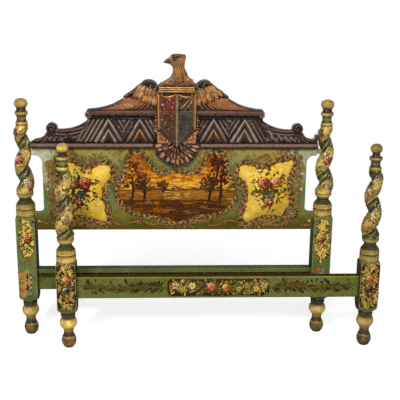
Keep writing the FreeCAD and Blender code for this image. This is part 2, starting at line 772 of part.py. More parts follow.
def make_moulding(name):
    """One applied moulding: a rounded base strip, or a ledge with a cove below."""
    left, right = moulding_spans()[name]
    back = PANEL_FRONT
    if name.startswith("base"):
        low, high = PANEL_TOP, PANEL_TOP + BASE_HEIGHT
        front = back - BASE_DEPTH
        turn = BASE_HEIGHT * 0.45
        steps = [(front + 2.0, low), (front, low + 3.0), (front, high - turn)]
        steps += [((front + turn * 0.3, high - turn * 0.3), (front + turn, high)), (back, high)]
        start = (back, low)
    else:
        low, high = LEDGE_BOTTOM, CREST_TOP
        front = back - LEDGE_DEPTH
        toe = back - LEDGE_DEPTH * 0.35
        knee = low + LEDGE_HEIGHT * 0.4
        bend = ((toe * 0.7 + front * 0.3), (low * 0.35 + knee * 0.65))
        steps = [(toe, low), (bend, (front, knee)), (front, high - 3.0), (front + 3.0, high), (back, high)]
        start = (back, low)
    return cut(strip(start, steps, left, right), nail_bores())


def make_wing(side_sign):
    """Spread wing standing on the crest: long feathers, with a raised row of coverts above."""
    s = side_sign
    tip = LEDGE_REACH - WING_TIP_INSET - s * EAGLE_SHIFT
    run = tip - EAGLE_HALF
    top = WING_TOP
    inner = EAGLE_HALF + SEAT

    def put(x, z):
        return (EAGLE_SHIFT + s * x, CREST_TOP + z)

    edge = [
        put(tip, 3.0),
        (put(EAGLE_HALF + run * 0.80, top * 0.08), put(EAGLE_HALF + run * 0.63, top * 0.2)),
        put(EAGLE_HALF + run * 0.48, top * 0.385),
        put(EAGLE_HALF + run * 0.48, top * 0.46),
        (put(EAGLE_HALF + run * 0.33, top * 0.69), put(EAGLE_HALF + run * 0.22, top * 0.89)),
        (put(WING_TOP_X, top), put(inner + 6.0, top * 0.91)),
        put(inner, top * 0.88),
    ]
    wing = board(put(inner, 0.0), [put(tip, 0.0)] + edge, WING_FRONT, EAGLE_BACK)
    coverts = [
        put(EAGLE_HALF + run * 0.30, top * 0.42),
        put(EAGLE_HALF + run * 0.37, top * 0.62),
        (put(EAGLE_HALF + run * 0.30, top * 0.745), put(EAGLE_HALF + run * 0.22, top * 0.88)),
        (put(WING_TOP_X, top * 0.985), put(inner + 6.0, top * 0.9)),
        put(inner, top * 0.87),
    ]
    row = board(put(inner, top * 0.3), coverts, WING_COVERT_FRONT, WING_FRONT)
    places = [EAGLE_SHIFT + s * x for x in wing_dowel_xs()]
    return cut(joined([wing, row]), upright_bores(places, CREST_TOP))


def make_eagle_body():
    """Eagle's breast on the crest board, with its neck and its head turned to the left."""
    low = PANEL_TOP + BASE_HEIGHT
    half = EAGLE_HALF
    left, right = EAGLE_SHIFT - half, EAGLE_SHIFT + half
    slab = box(left, right, EAGLE_FRONT, PANEL_FRONT, low, CREST_TOP)

    def put(x, z):
        return (EAGLE_SHIFT + x, CREST_TOP + z)

    rise = EAGLE_BREAST
    breast = board(put(-half, 0.0), [
        put(half, 0.0),
        put(half, rise * 0.96),
        (put(half * 0.86, rise * 1.1), put(half * 0.68, rise * 1.26)),
        put(-half * 0.36, rise * 1.26),
        (put(-half * 0.74, rise * 1.08), put(-half, rise * 0.96)),
    ], EAGLE_FRONT, EAGLE_BACK)

    middle = (EAGLE_FRONT + EAGLE_BACK) / 2.0
    front = middle - EAGLE_HEAD_THICK / 2.0
    tall = EAGLE_CREST
    chin = rise * 1.2
    spine = [
        (half * 0.68, chin), (half * 0.46, chin + (tall - chin) * 0.32),
        (half * 0.38, chin + (tall - chin) * 0.62), (half * 0.44, chin + (tall - chin) * 0.95),
        (half * 0.1, tall), (-half * 0.26, tall * 0.985), (-half * 0.36, tall * 0.945),
        (-half * 0.52, tall * 0.905), (EAGLE_BEAK, tall * 0.845),
        (-half * 0.44, tall * 0.832), (-half * 0.24, tall * 0.785),
        (-half * 0.2, tall * 0.70), (-half * 0.3, chin + (tall - chin) * 0.13),
        (-half * 0.44, chin),
    ]
    points = [V(EAGLE_SHIFT + x, front, CREST_TOP + z) for x, z in spine]
    tip = spine.index((EAGLE_BEAK, tall * 0.845))
    upper = Part.BSplineCurve()
    upper.interpolate(Points=points[:tip + 1])
    lower = Part.BSplineCurve()
    lower.interpolate(Points=points[tip:])
    ends = Part.LineSegment(points[-1], points[0]).toShape()
    face = Part.Face(Part.Wire([upper.toShape(), lower.toShape(), ends]))
    head = face.extrude(V(0, EAGLE_HEAD_THICK, 0))
    return cut(joined([slab, breast, head]), eagle_bores())


def make_tail():
    """Two rows of tail feathers in a fan below the shield."""
    top = PANEL_TOP + BASE_HEIGHT
    x = EAGLE_SHIFT

    def fan(radius, count, front, back):
        """Half disc whose edge is scalloped into feather tips."""
        notch = radius * TAIL_NOTCH
        steps = []
        for i in range(count):
            tip = math.pi * (1.0 + (i + 0.5) / count)
            end = math.pi * (1.0 + (i + 1.0) / count)
            crown = (x + radius * math.cos(tip), top + radius * math.sin(tip))
            steps.append((crown, (x + notch * math.cos(end), top + notch * math.sin(end))))
        return board((x - notch, top), steps, front, back)

    face = PANEL_FRONT - TAIL_THICK
    outer = fan(TAIL_R, TAIL_FEATHERS, face + TAIL_STEP, PANEL_FRONT)
    inner = fan(TAIL_INNER_R, TAIL_FEATHERS - 2, face, face + TAIL_STEP)
    return cut(joined([outer, inner]), eagle_bores())


def make_shield():
    """Bowed shield with a border, an upright and a level ridge, and four sunk fields."""
    x = EAGLE_SHIFT
    top = CREST_TOP + SHIELD_TOP
    side = top - SHIELD_SIDE
    point = side - SHIELD_POINT
    half = SHIELD_HALF
    back = EAGLE_FRONT
    front = back - SHIELD_THICK
    outline = [
        (x + half, side), (x + half, top),
        ((x + half * 0.5, top - SHIELD_DIP), (x, top)),
        ((x - half * 0.5, top - SHIELD_DIP), (x - half, top)),
        (x - half, side),
    ]
    blank = board((x, point), outline, front, back)
    bow = (half * half + SHIELD_CROWN * SHIELD_CROWN) / (2.0 * SHIELD_CROWN)
    drum = Part.makeCylinder(bow, top - point + 40.0, V(x, front + bow, point - 20.0), V(0, 0, 1))
    sunk = Part.makeCylinder(bow - SHIELD_FIELD, top - point + 40.0,
                             V(x, front + bow, point - 20.0), V(0, 0, 1))
    rim = SHIELD_BORDER
    ridge = SHIELD_RIDGE / 2.0
    cross = top - SHIELD_SIDE * 0.52
    slant = SHIELD_POINT / half
    fields = []
    for s in (-1.0, 1.0):
        near, far = x + s * ridge, x + s * (half - rim)
        fields.append(box(near, far, front - 5.0, back, cross + ridge, top - rim - SHIELD_DIP))
        lift = rim * math.hypot(1.0, slant)
        low = point + ridge * slant + lift
        turn = point + (half - rim) * slant + lift
        fields.append(board((near, low), [(far, turn), (far, cross - ridge), (near, cross - ridge)],
                            front - 5.0, back))
    cuts = [field.cut(sunk) for field in fields]
    return cut(blank.common(drum), cuts + eagle_bores())


def make_cap():
    """Rounded bar across the eagle's breast above the shield."""
    low = CREST_TOP + SHIELD_TOP + CAP_GAP
    high = low + CAP_HEIGHT
    back = EAGLE_FRONT
    front = back - CAP_THICK
    steps = [
        (front + 4.0, low),
        ((front, (low + high) / 2.0), (front + 4.0, high)),
        (back, high),
    ]
    return strip((back, low), steps, EAGLE_SHIFT - CAP_HALF, EAGLE_SHIFT + CAP_HALF)


def make_batten(side_sign):
    """Upright batten across the back of panel and crest board."""
    x = side_sign * BATTEN_X
    half = BATTEN_WIDTH / 2.0
    low = PANEL_BOTTOM + BATTEN_INSET
    high = CREST_TOP - BATTEN_INSET
    edge = BATTEN_CHAMFER
    back = PANEL_BACK + BATTEN_THICK
    wide = [(-half, PANEL_BACK), (half, PANEL_BACK), (half, back - edge), (half - edge, back),
            (-half + edge, back), (-half, back - edge)]
    face = Part.Face(wire(wide[0], wide[1:], lambda p: V(x + p[0], p[1], low)))
    body = face.extrude(V(0, 0, high - low))
    sinks = [Part.makeCone(SCREW_HEAD_R + FIT, SCREW_R + FIT, SCREW_HEAD + FIT, V(a, back, z), V(0, -1, 0))
             for a, z in batten_screw_places()]
    return cut(body, batten_screw_bores() + sinks)


def screw(place, way, length):
    """Countersunk screw, its head's face at a place and its shank along a direction."""
    head = Part.makeCone(SCREW_HEAD_R, SCREW_R, SCREW_HEAD, V(*place), V(*way))
    return joined([head, rod(SCREW_R, place, way, length)])


def make_plate(board_name, side_sign):
    """Iron plate let into the post's face, with two upright slots and three screw holes."""
    head = board_name == "head"
    x = side_sign * HALF
    face = -BLOCK_SIDE / 2.0 if head else BLOCK_SIDE / 2.0
    into = 1.0 if head else -1.0
    middle = HEAD_PLATE_Z if head else FOOT_PLATE_Z
    wide, high = PLATE_WIDTH / 2.0, PLATE_HEIGHT / 2.0
    inside = face + into * PLATE_THICK
    body = box(x - wide, x + wide, face, inside, middle - high, middle + high)
    r = HOOK_WIDTH / 2.0
    reach = HOOK_LENGTH / 2.0 - r
    tools = []
    for z in (middle - HOOK_PITCH / 2.0, middle + HOOK_PITCH / 2.0):
        outline = [(x + r, z + reach), ((x, z + reach + r), (x - r, z + reach)), (x - r, z - reach),
                   ((x, z - reach - r), (x + r, z - reach))]
        tools.append(board((x + r, z - reach), outline, face, inside))
    for z in plate_screw_heights(middle):
        tools.append(rod(SCREW_R + FIT, (x, face, z), (0, into, 0), PLATE_THICK))
        tools.append(Part.makeCone(SCREW_HEAD_R + FIT, SCREW_R + FIT, SCREW_HEAD + FIT, V(x, face, z),
                                   V(0, into, 0)))
    return cut(body, tools)


def make_plate_screws(board_name):
    """The six screws of a board's two plates."""
    head = board_name == "head"
    face = -BLOCK_SIDE / 2.0 if head else BLOCK_SIDE / 2.0
    into = 1.0 if head else -1.0
    middle = HEAD_PLATE_Z if head else FOOT_PLATE_Z
    return Part.makeCompound([screw((s * HALF, face, z), (0, into, 0), PLATE_SCREW)
                              for s in (-1.0, 1.0) for z in plate_screw_heights(middle)])


def make_pegs(board_name):
    """Wooden pegs of a board's tenons, flush with the back of the posts."""
    back = BLOCK_SIDE / 2.0
    return Part.makeCompound([rod(PEG_R, (s * x, back, z), (0, -1, 0), PEG_LENGTH)
                              for s in (-1.0, 1.0) for x, z in peg_places(board_name)])


def upright_dowels(places, height):
    """Upright dowels across a joint."""
    middle = PANEL_FRONT + PANEL_THICK / 2.0
    return Part.makeCompound([rod(DOWEL_R, (x, middle, height - DOWEL_REACH), (0, 0, 1), 2.0 * DOWEL_REACH)
                              for x in places])


def make_nails():
    """Domed nails of the applied mouldings."""
    nails = []
    for x, y, z, length in nail_places():
        shank = rod(NAIL_R, (x, y, z), (0, 1, 0), length)
        dome = turned((0.0, 0.0), [(NAIL_HEAD_R, 0.0), (NAIL_HEAD_R * 0.8, NAIL_HEAD * 0.6),
                                   (NAIL_HEAD_R * 0.4, NAIL_HEAD), (0.0, NAIL_HEAD)])
        dome.rotate(V(0, 0, 0), V(1, 0, 0), 90)
        nails.append(joined([shank, moved(dome, x, y, z)]))
    return Part.makeCompound(nails)


BOARDS = (
    ("head", HEAD_SHAFT_FOOT, HEAD_TWIST_START, HEAD_WAIST_R, HEAD_KNOB_R),
    ("foot", FOOT_SHAFT_FOOT, FOOT_TWIST_START, FOOT_WAIST_R, FOOT_KNOB_R),
)
for board_name, foot, start, waist_r, knob_r in BOARDS:
    for side_name, side_sign in (("left", -1.0), ("right", 1.0)):
        keep(board_name + "_" + side_name + "_post", make_post(board_name, side_sign), board_name)
        shaft = moved(make_shaft(start), side_sign * HALF, 0, foot)
        if board_name == "head":
            shaft = cut(shaft, [upper_tenon(side_sign, FIT)])
        keep(board_name + "_" + side_name + "_column", shaft, board_name)
        finial = moved(make_finial(waist_r, knob_r), side_sign * HALF, 0, foot + SHAFT_LENGTH)
        keep(board_name + "_" + side_name + "_finial", finial, board_name)
        keep(board_name + "_" + side_name + "_hook_plate", make_plate(board_name, side_sign), board_name)
    keep(board_name + "_rail", make_rail(board_name), board_name)
    keep(board_name + "_pegs", make_pegs(board_name), board_name)
    keep(board_name + "_plate_screws", make_plate_screws(board_name), board_name)

keep("head_panel", make_panel(), "head")
keep("crest_board", make_crest(), "head")
for name in moulding_spans():
    keep(name, make_moulding(name), "head")
keep("moulding_nails", make_nails(), "head")
keep("left_wing", make_wing(-1.0), "head")
keep("right_wing", make_wing(1.0), "head")
keep("eagle_body", make_eagle_body(), "head")
keep("eagle_tail", make_tail(), "head")
keep("shield", make_shield(), "head")
keep("shield_cap", make_cap(), "head")
keep("back_batten_left", make_batten(-1.0), "head")
keep("back_batten_right", make_batten(1.0), "head")
back_face = PANEL_BACK + BATTEN_THICK
screws = [screw((x, back_face, z), (0, -1, 0), BATTEN_SCREW) for x, z in batten_screw_places()]
keep("batten_screws", Part.makeCompound(screws), "head")
keep("crest_dowels", upright_dowels(dowel_xs(), PANEL_TOP), "head")
wing_places = [EAGLE_SHIFT + s * x for x in wing_dowel_xs() for s in (-1, 1)]
keep("wing_dowels", upright_dowels(wing_places, CREST_TOP), "head")
dowels = [rod(DOWEL_R, (x, y, z), (0, -1, 0), length) for x, y, z, length in eagle_dowel_places()]
keep("eagle_dowels", Part.makeCompound(dowels), "head")

os.makedirs("parts", exist_ok=True)
whole = FreeCAD.BoundBox()
for name, shape in nodes.items():
    whole.add(shape.BoundBox)
    good = all(solid.isValid() for solid in shape.Solids)
    print(name, len(shape.Solids), "solids", round(shape.Volume / 1000.0, 1), "cm3", "valid" if good else "BAD")
    shape.exportStep("parts/" + name + ".step")
print("size", round(whole.XLength, 1), round(whole.YLength, 1), round(whole.ZLength, 1))
print("corner", round(whole.XMin, 1), round(whole.YMin, 1), round(whole.ZMin, 1))
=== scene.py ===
# %% [markdown]
# # A carved and painted bed
# The bed is a tall headboard and a low footboard, each hung between turned and twisted posts.
# The joiner's pieces are loaded as a fixed frame and stay where they are. The lesson adds what the
# carver, the gilder and the painter did afterwards: feathers, raised scrolls, flowers and old paint.
# All chance comes from one set of dice with a fixed seed, so that every run paints the same bed.

# %% Load the joiner's frame
import random
from math import atan2, cos, pi, sin, tau

import bmesh
import bpy
from mathutils import Matrix, Vector
from mathutils.geometry import interpolate_bezier


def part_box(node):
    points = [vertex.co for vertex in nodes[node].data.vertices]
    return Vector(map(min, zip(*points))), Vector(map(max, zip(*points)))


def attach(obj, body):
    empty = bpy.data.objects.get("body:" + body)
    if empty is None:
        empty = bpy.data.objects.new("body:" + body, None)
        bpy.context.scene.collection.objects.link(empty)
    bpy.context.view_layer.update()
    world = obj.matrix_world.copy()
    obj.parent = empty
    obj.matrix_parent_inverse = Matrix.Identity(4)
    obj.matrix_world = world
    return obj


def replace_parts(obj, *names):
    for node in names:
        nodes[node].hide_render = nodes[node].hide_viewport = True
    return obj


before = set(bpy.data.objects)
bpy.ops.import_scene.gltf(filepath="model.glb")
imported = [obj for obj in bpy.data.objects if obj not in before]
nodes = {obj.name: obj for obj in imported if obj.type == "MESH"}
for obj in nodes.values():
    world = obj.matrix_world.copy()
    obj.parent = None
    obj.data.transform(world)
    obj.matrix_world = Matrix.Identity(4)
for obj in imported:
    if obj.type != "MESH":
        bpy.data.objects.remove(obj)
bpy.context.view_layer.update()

dice = random.Random(11)
roll, pick, chance, stray = dice.uniform, dice.choice, dice.random, dice.gauss

# %% [markdown]
# ## Measuring on the frame
# Every decoration is set out in millimetres on a flat "easel": u to the right, v up from the floor,
# and the third number out of the wood. An easel is just a matrix, so the same rose can be laid on the
# panel, on a post or on a twisted shaft. The easels' places are read from the frame's own boxes.

# %% Easels
MM = 0.001


def upright(x, y):
    """An easel on a face that looks to the front, with v counted from the floor."""
    return Matrix(((MM, 0, 0, x), (0, 0, -MM, y), (0, MM, 0, 0), (0, 0, 0, 1)))


def post_axis(post):
    """The foot of a post's upright axis, read from its turned finial."""
    low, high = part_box(f"{post}_finial")
    return Vector(((low.x + high.x) / 2, (low.y + high.y) / 2, 0))


panel_low, panel_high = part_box("head_panel")
shield_low, shield_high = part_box("shield")
rail_low, rail_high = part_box("foot_rail")
eagle_low, eagle_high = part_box("eagle_body")
HEAD_X = (panel_low.x + panel_high.x) / 2
FOOT_X = (rail_low.x + rail_high.x) / 2
EAGLE_X = (shield_low.x + shield_high.x) / 2
panel_easel = upright(HEAD_X, panel_low.y)
rail_easel = upright(FOOT_X, rail_low.y)
eagle_easel = upright(EAGLE_X, eagle_low.y)
print("easels at", [round(x, 3) for x in (HEAD_X, FOOT_X, EAGLE_X)])

# %% [markdown]
# ## Colours
# Colours are written as the eye reads them, in the usual six-digit codes, and turned into the linear
# values that Blender mixes. Each colour carries the name that the painter would use for it.

# %% The palette


def tone(code):
    """A colour code such as 7a5b30 as linear red, green, blue and alpha."""
    parts = [int(code[i:i + 2], 16) / 255 for i in (0, 2, 4)]
    return tuple(p / 12.92 if p < 0.04045 else ((p + 0.055) / 1.055) ** 2.4 for p in parts) + (1.0,)


def tones(codes):
    return [tone(code) for code in codes.split()]


def mixed(first, second, share):
    """A colour part of the way from the first to the second."""
    return tuple(a + (b - a) * share for a, b in zip(first, second))


SAGE, SAGE_PALE, SAGE_DEEP, SAGE_LOW = tones("6e6a28 948848 464610 463c08")
SEA_GREEN, BLUE_GREEN, LEAF, LEAF_DARK = tones("4f7048 2c463a 464e1c 161c0e")
YELLOW, YELLOW_PALE, YELLOW_DEEP = tones("deb434 eed070 8e6410")
OCHRE, OCHRE_PALE, OCHRE_DEEP = tones("ac8832 cfae54 503610")
GILT, GILT_DEEP, CREAM = tones("94691f 3a2408 e6d6a8")
ROSE, ROSE_PALE, ROSE_DEEP = tones("b84a28 eca878 641008")
UMBER, UMBER_DEEP, SOOT, GROOVE = tones("523626 2a1c14 120c08 1c1a0a")
CHESTNUT, TAN, TAN_PALE, PINE = tones("84502c ab6e38 d09a58 a07c4c")
RUST, ORANGE, LILAC, SLATE, IRON = tones("64260a a05210 8a746a 33362a 33302e")
print("palette mixed")

# %% [markdown]
# ## Node helpers
# A material is a small machine of nodes. These helpers place one node each and wire it up, so that
# the recipes below read like a list of steps.

# %% Helpers that place shader nodes


def add(tree, kind, wires=None, **settings):
    """One shader node: settings are its options, wires are values or links for its sockets."""
    made = tree.nodes.new("ShaderNode" + kind)
    for name, value in settings.items():
        setattr(made, name, value)
    for name, value in (wires or {}).items():
        if isinstance(value, bpy.types.NodeSocket):
            tree.links.new(value, made.inputs[name])
        else:
            made.inputs[name].default_value = value
    return made


def maths(tree, operation, first, second=0.0, third=0.0):
    return add(tree, "Math", {0: first, 1: second, 2: third}, operation=operation).outputs[0]


def vectors(tree, operation, first, second=(0, 0, 0)):
    return add(tree, "VectorMath", {0: first, 1: second}, operation=operation).outputs


def blend(tree, share, first, second):
    return add(tree, "Mix", {0: share, 6: first, 7: second}, data_type="RGBA").outputs[2]


def fade(tree, value, start, end, most=1.0):
    """0 at start, most at end, straight in between."""
    return add(tree, "MapRange", {0: value, 1: start, 2: end, 4: most}).outputs[0]


def noise(tree, place, scale, detail=4.0, rough=0.6):
    wires = {"Vector": place, "Scale": scale, "Detail": detail, "Roughness": rough}
    return add(tree, "TexNoise", wires).outputs[0]


def spot_on(tree):
    return add(tree, "TexCoord").outputs["Object"]


def parts_of(tree, vector=None):
    """The X, Y and Z of a vector, or of the spot that is being shaded."""
    return add(tree, "SeparateXYZ", {0: vector or spot_on(tree)}).outputs


def ramp(tree, value, *stops):
    """A colour band with the given (place, colour) stops."""
    made = add(tree, "ValToRGB", {0: value})
    band = made.color_ramp.elements
    band.remove(band[1])
    band[0].position, band[0].color = stops[0]
    for place, colour in stops[1:]:
        band.new(place).color = colour
    return made.outputs[0]


def new_group(name, inputs, outputs):
    """An empty node group with named sockets, its input sockets and its output sockets."""
    group = bpy.data.node_groups.new(name, "ShaderNodeTree")
    for label, kind, value in inputs:
        made = group.interface.new_socket(label, in_out="INPUT", socket_type="NodeSocket" + kind)
        made.default_value = value
    for label, kind in outputs:
        group.interface.new_socket(label, in_out="OUTPUT", socket_type="NodeSocket" + kind)
    given = group.nodes.new("NodeGroupInput").outputs
    wanted = group.nodes.new("NodeGroupOutput").inputs
    return group, given, wanted


print("node helpers ready")

# %% [markdown]
# ## Old paint
# Paint that is generations old is cloudy and cracked in small cells, and it is darker in hollow places.
# One group holds all of that: two tones of the paint in soft clouds, streaks and specks of dirt,
# pale flecks of worn gilding that also serve as painted glints, a net of fine cracks, and darkening that
# an ambient occlusion node finds in hollow places, partly dirt and partly painted shade. Each paint on the
# bed then only names what differs from the group's own values.

# %% Group: aged paint
AGED, given, wanted = new_group(
    "aged paint",
    [("Fresh", "Color", SAGE), ("Faded", "Color", SAGE_PALE), ("Grime", "Color", UMBER_DEEP),
     ("Fleck", "Color", CREAM), ("Mottle", "Float", 9.0), ("Crackle", "Float", 0.4),
     ("Hollows", "Float", 0.75), ("Flecks", "Float", 0.2)],
    [("Color", "Color"), ("Roughness", "Float"), ("Height", "Float")])
place = spot_on(AGED)
clouds = noise(AGED, place, given["Mottle"], 6.0, 0.65)
streaks = noise(AGED, place, 42.0, 5.0, 0.7)
specks = noise(AGED, place, 150.0, 3.0)
body = blend(AGED, fade(AGED, clouds, 0.38, 0.64), given["Fresh"], given["Faded"])
body = blend(AGED, fade(AGED, streaks, 0.48, 0.74, 0.6), body, given["Grime"])
body = blend(AGED, fade(AGED, specks, 0.58, 0.72, 0.5), body, given["Grime"])
# The pale flecks stand for worn gilding and also for painted glints.
shine = maths(AGED, "MULTIPLY", fade(AGED, specks, 0.42, 0.30), given["Flecks"])
body = blend(AGED, shine, body, given["Fleck"])
cells = add(AGED, "TexVoronoi", {"Vector": place, "Scale": 85.0}, feature="DISTANCE_TO_EDGE").outputs[0]
cracks = maths(AGED, "MULTIPLY", fade(AGED, cells, 0.045, 0.0), given["Crackle"])
# The ambient occlusion darkening in hollow places is partly dirt and partly painted shade.
occlusion = add(AGED, "AmbientOcclusion", {"Distance": 0.025}, samples=8).outputs["AO"]
hollow = maths(AGED, "MULTIPLY", fade(AGED, occlusion, 0.92, 0.40), given["Hollows"])
body = blend(AGED, maths(AGED, "MAXIMUM", cracks, hollow), body, given["Grime"])
relief = maths(AGED, "SUBTRACT", maths(AGED, "ADD", streaks, specks), cracks)
AGED.links.new(body, wanted["Color"])
AGED.links.new(maths(AGED, "MULTIPLY_ADD", streaks, 0.5, 0.14), wanted["Roughness"])
AGED.links.new(relief, wanted["Height"])
print("aged paint:", len(AGED.nodes), "nodes")

# %% [markdown]
# ## Rubbed edges
# Corners lose their paint first. The Bevel node gives the normal that a rounded corner would have;
# where it differs from the true normal there is an edge, and a noise breaks the rubbed line up.

# %% Group: rubbed edges
RUBBED, given, wanted = new_group(
    "rubbed edges", [("Width", "Float", 0.004), ("Amount", "Float", 0.6)], [("Mask", "Float")])
rounded = add(RUBBED, "Bevel", {"Radius": given["Width"]}, samples=6).outputs[0]
straight = add(RUBBED, "NewGeometry").outputs["Normal"]
edge = fade(RUBBED, vectors(RUBBED, "DOT_PRODUCT", rounded, straight)["Value"], 0.985, 0.86)
chips = fade(RUBBED, noise(RUBBED, spot_on(RUBBED), 55.0, 6.0, 0.7), 0.36, 0.60)
mask = maths(RUBBED, "MULTIPLY", maths(RUBBED, "MULTIPLY", edge, chips), given["Amount"])
RUBBED.links.new(mask, wanted["Mask"])
print("rubbed edges:", len(RUBBED.nodes), "nodes")

# %% [markdown]
# ## Bare timber
# The backs and battens were never painted. Grain is noise stretched along the plank, with darker
# pores on top; the stretch is an input, because planks on the bed lie both ways.

# %% Group: bare timber
TIMBER, given, wanted = new_group(
    "bare timber",
    [("Light", "Color", PINE), ("Dark", "Color", UMBER), ("Grain", "Vector", (3, 40, 40))],
    [("Color", "Color"), ("Height", "Float")])
drawn = vectors(TIMBER, "MULTIPLY", spot_on(TIMBER), given["Grain"])[0]
rings = noise(TIMBER, drawn, 1.6, 5.0, 0.6)
pores = noise(TIMBER, drawn, 7.0, 3.0, 0.7)
plank = blend(TIMBER, fade(TIMBER, rings, 0.34, 0.66), given["Light"], given["Dark"])
plank = blend(TIMBER, fade(TIMBER, pores, 0.56, 0.70, 0.6), plank, given["Dark"])
TIMBER.links.new(plank, wanted["Color"])
TIMBER.links.new(maths(TIMBER, "SUBTRACT", rings, pores), wanted["Height"])
print("bare timber:", len(TIMBER.nodes), "nodes")

# %% [markdown]
# ## Painted finishes
# Every painted finish is one recipe: aged paint, rubbed edges that show the ground colour, a little
# bump and a thin old varnish, whose gloss can be dulled by a mask or where a turned part slants away.
# The two tones may be plain colours or a function that wires a pattern, such as the bands of a post.

# %% The painted finish


def cleared(holder):
    """The empty node tree of a material or a world."""
    holder.use_nodes = True
    holder.node_tree.nodes.clear()
    return holder.node_tree


def surface(name, varnish):
    """A new material with one Principled shader; returns it with its tree and shader."""
    material = bpy.data.materials.new(name)
    tree = cleared(material)
    shader = add(tree, "BsdfPrincipled", {
        "Specular IOR Level": 0.0, "Coat Weight": varnish, "Coat Roughness": 0.13})
    add(tree, "OutputMaterial", {"Surface": shader.outputs[0]})
    return material, tree, shader


def dress(tree, shader, colour, roughness, height, bump):
    """Wires a colour, a roughness and a bump height to a shader."""
    swell = add(tree, "Bump", {"Strength": bump, "Distance": 0.002, "Height": height}).outputs[0]
    for name, socket in (("Base Color", colour), ("Roughness", roughness), ("Normal", swell)):
        tree.links.new(socket, shader.inputs[name])


def painted(name, fresh, faded, rubbed=TAN_PALE, wear=0.6, bump=0.3, varnish=0.12, back=None, matt=None,
            slant=0.0, **aged):
    """An old painted finish; other words set inputs of the aged paint.

    Behind the depth back it is bare timber. A mask matt, or a slant, dulls the varnish."""
    material, tree, shader = surface(name, varnish)
    aged["fresh"], aged["faded"] = (c(tree) if callable(c) else c for c in (fresh, faded))
    inputs = {word.capitalize(): value for word, value in aged.items()}
    old = add(tree, "Group", inputs, node_tree=AGED).outputs
    rub = add(tree, "Group", {"Amount": wear}, node_tree=RUBBED).outputs[0]
    colour = blend(tree, rub, old["Color"], rubbed)
    if back is not None:
        bare = add(tree, "Group", node_tree=TIMBER).outputs["Color"]
        colour = blend(tree, maths(tree, "GREATER_THAN", parts_of(tree)["Y"], back), colour, bare)
    dull = matt(tree) if matt else 0.0
    if slant:
        turned = add(tree, "LayerWeight", {"Blend": 0.5}).outputs["Facing"]
        dull = maths(tree, "MAXIMUM", dull, fade(tree, turned, 0.30, 0.70, slant))
    if matt or slant:
        gloss = maths(tree, "MULTIPLY_ADD", dull, -varnish, varnish)
        tree.links.new(gloss, shader.inputs["Coat Weight"])
    dress(tree, shader, colour, old["Roughness"], old["Height"], bump)
    return material


def stained_and_shaded(name, fresh, faded, hollows=0.9, **more):
    """Dark stain under polish: it doesn't crack, and its hollow places darken strongly to soot, partly dirt
    and partly painted shade.
    """
    return painted(name, fresh, faded, grime=SOOT, crackle=0.0, hollows=hollows, **more)


def cover(material, *names):
    """Gives CAD nodes a material in place of the plain one that they came with."""
    for name in names:
        for holder in nodes[name].material_slots:
            holder.material = material


print("painted finish ready")

# %% [markdown]
# ## Headboard panel and rails
# The panel is sage green, paler at the top, with sea-green touches, and darker and browner low down.
# A ramp on the height gives that drift, the clouds of the aged paint break it, and
# soft patches show where the paint of the ears is worn to its chalky ground.

# %% Paint the panel and the rails


def by_height(*stops):
    """A function that wires a colour band up the height of the piece; stops are in millimetres."""
    low, high = stops[0][0] * MM, stops[-1][0] * MM
    shares = [((v * MM - low) / (high - low), colour) for v, colour in stops]
    return lambda tree: ramp(tree, fade(tree, parts_of(tree)["Z"], low, high), *shares)


def patched(wire, *patches):
    """Lays ragged worn patches, each a place, a reach and a colour, over a pattern."""
    def wired(tree):
        colour, place = wire(tree), spot_on(tree)
        ragged = maths(tree, "MULTIPLY_ADD", noise(tree, place, 24.0, 5.0, 0.7), 0.14, -0.07)
        for middle, reach, paint in patches:
            away = maths(tree, "ADD", vectors(tree, "DISTANCE", place, middle)["Value"], ragged)
            colour = blend(tree, fade(tree, away, reach, reach * 0.55), colour, paint)
        return colour

    return wired


def looking(axis, low, high, most):
    """A function that wires a mask of the faces that look along an axis between two heights."""
    def wired(tree):
        height = parts_of(tree)["Z"]
        along = parts_of(tree, add(tree, "NewGeometry").outputs["Normal"])[axis]
        mask = fade(tree, maths(tree, "ABSOLUTE", along), 0.80, 0.97, most)
        for test, limit in (("GREATER_THAN", low), ("LESS_THAN", high)):
            mask = maths(tree, "MULTIPLY", mask, maths(tree, test, height, limit * MM))
        return mask

    return wired


def shaded(wire, mask, shade=SOOT):
    """Darkens a pattern where a mask says so."""
    return lambda tree: blend(tree, mask(tree), wire(tree), shade)


BACK_BARE = panel_high.y - 1 * MM
CHALK, EAR_GREY, RAIL_SHADE = tones("b3b39c 8f9678 2a2614")
EAR = (panel_high.x - panel_low.x) / 2 - 60 * MM
EAR_WEAR = [(Vector((HEAD_X + x, panel_low.y, z)), reach, colour) for x, z, reach, colour in (
    (-EAR, 0.925, 0.085, CHALK), (0.04 - EAR, 0.80, 0.05, mixed(SAGE_PALE, CHALK, 0.4)),
    (EAR - 0.01, 0.915, 0.09, EAR_GREY), (EAR - 0.04, 0.80, 0.06, mixed(SEA_GREEN, EAR_GREY, 0.5)))]
RAIL_EDGE, RAIL_GRIME_AND_SHADE = mixed(SAGE, SAGE_PALE, 0.35), mixed(SAGE_DEEP, SOOT, 0.4)
MID_GREEN, SOFT_GREEN = mixed(SAGE, SAGE_DEEP, 0.35), mixed(SAGE, SEA_GREEN, 0.6)
PANEL_BANDS = (
    ((540, SAGE_LOW), (592, SAGE_LOW), (640, SEA_GREEN), (800, SEA_GREEN), (945, SAGE_PALE)),
    ((540, SAGE_LOW), (620, SAGE), (700, SEA_GREEN), (860, SEA_GREEN), (945, OCHRE)))
# On the head rail the GROOVE strip from 298 to 327 mm, under its nosing, is a painted shadow.
HEAD_RAIL_BANDS = (
    ((236, SAGE_DEEP), (298, SAGE_DEEP), (306, GROOVE), (320, GROOVE), (327, SAGE), (333, SEA_GREEN),
     (346, SAGE_DEEP)),
    ((236, SOFT_GREEN), (296, SAGE), (304, GROOVE), (321, GROOVE), (328, SAGE_PALE), (335, SAGE),
     (346, SEA_GREEN)))
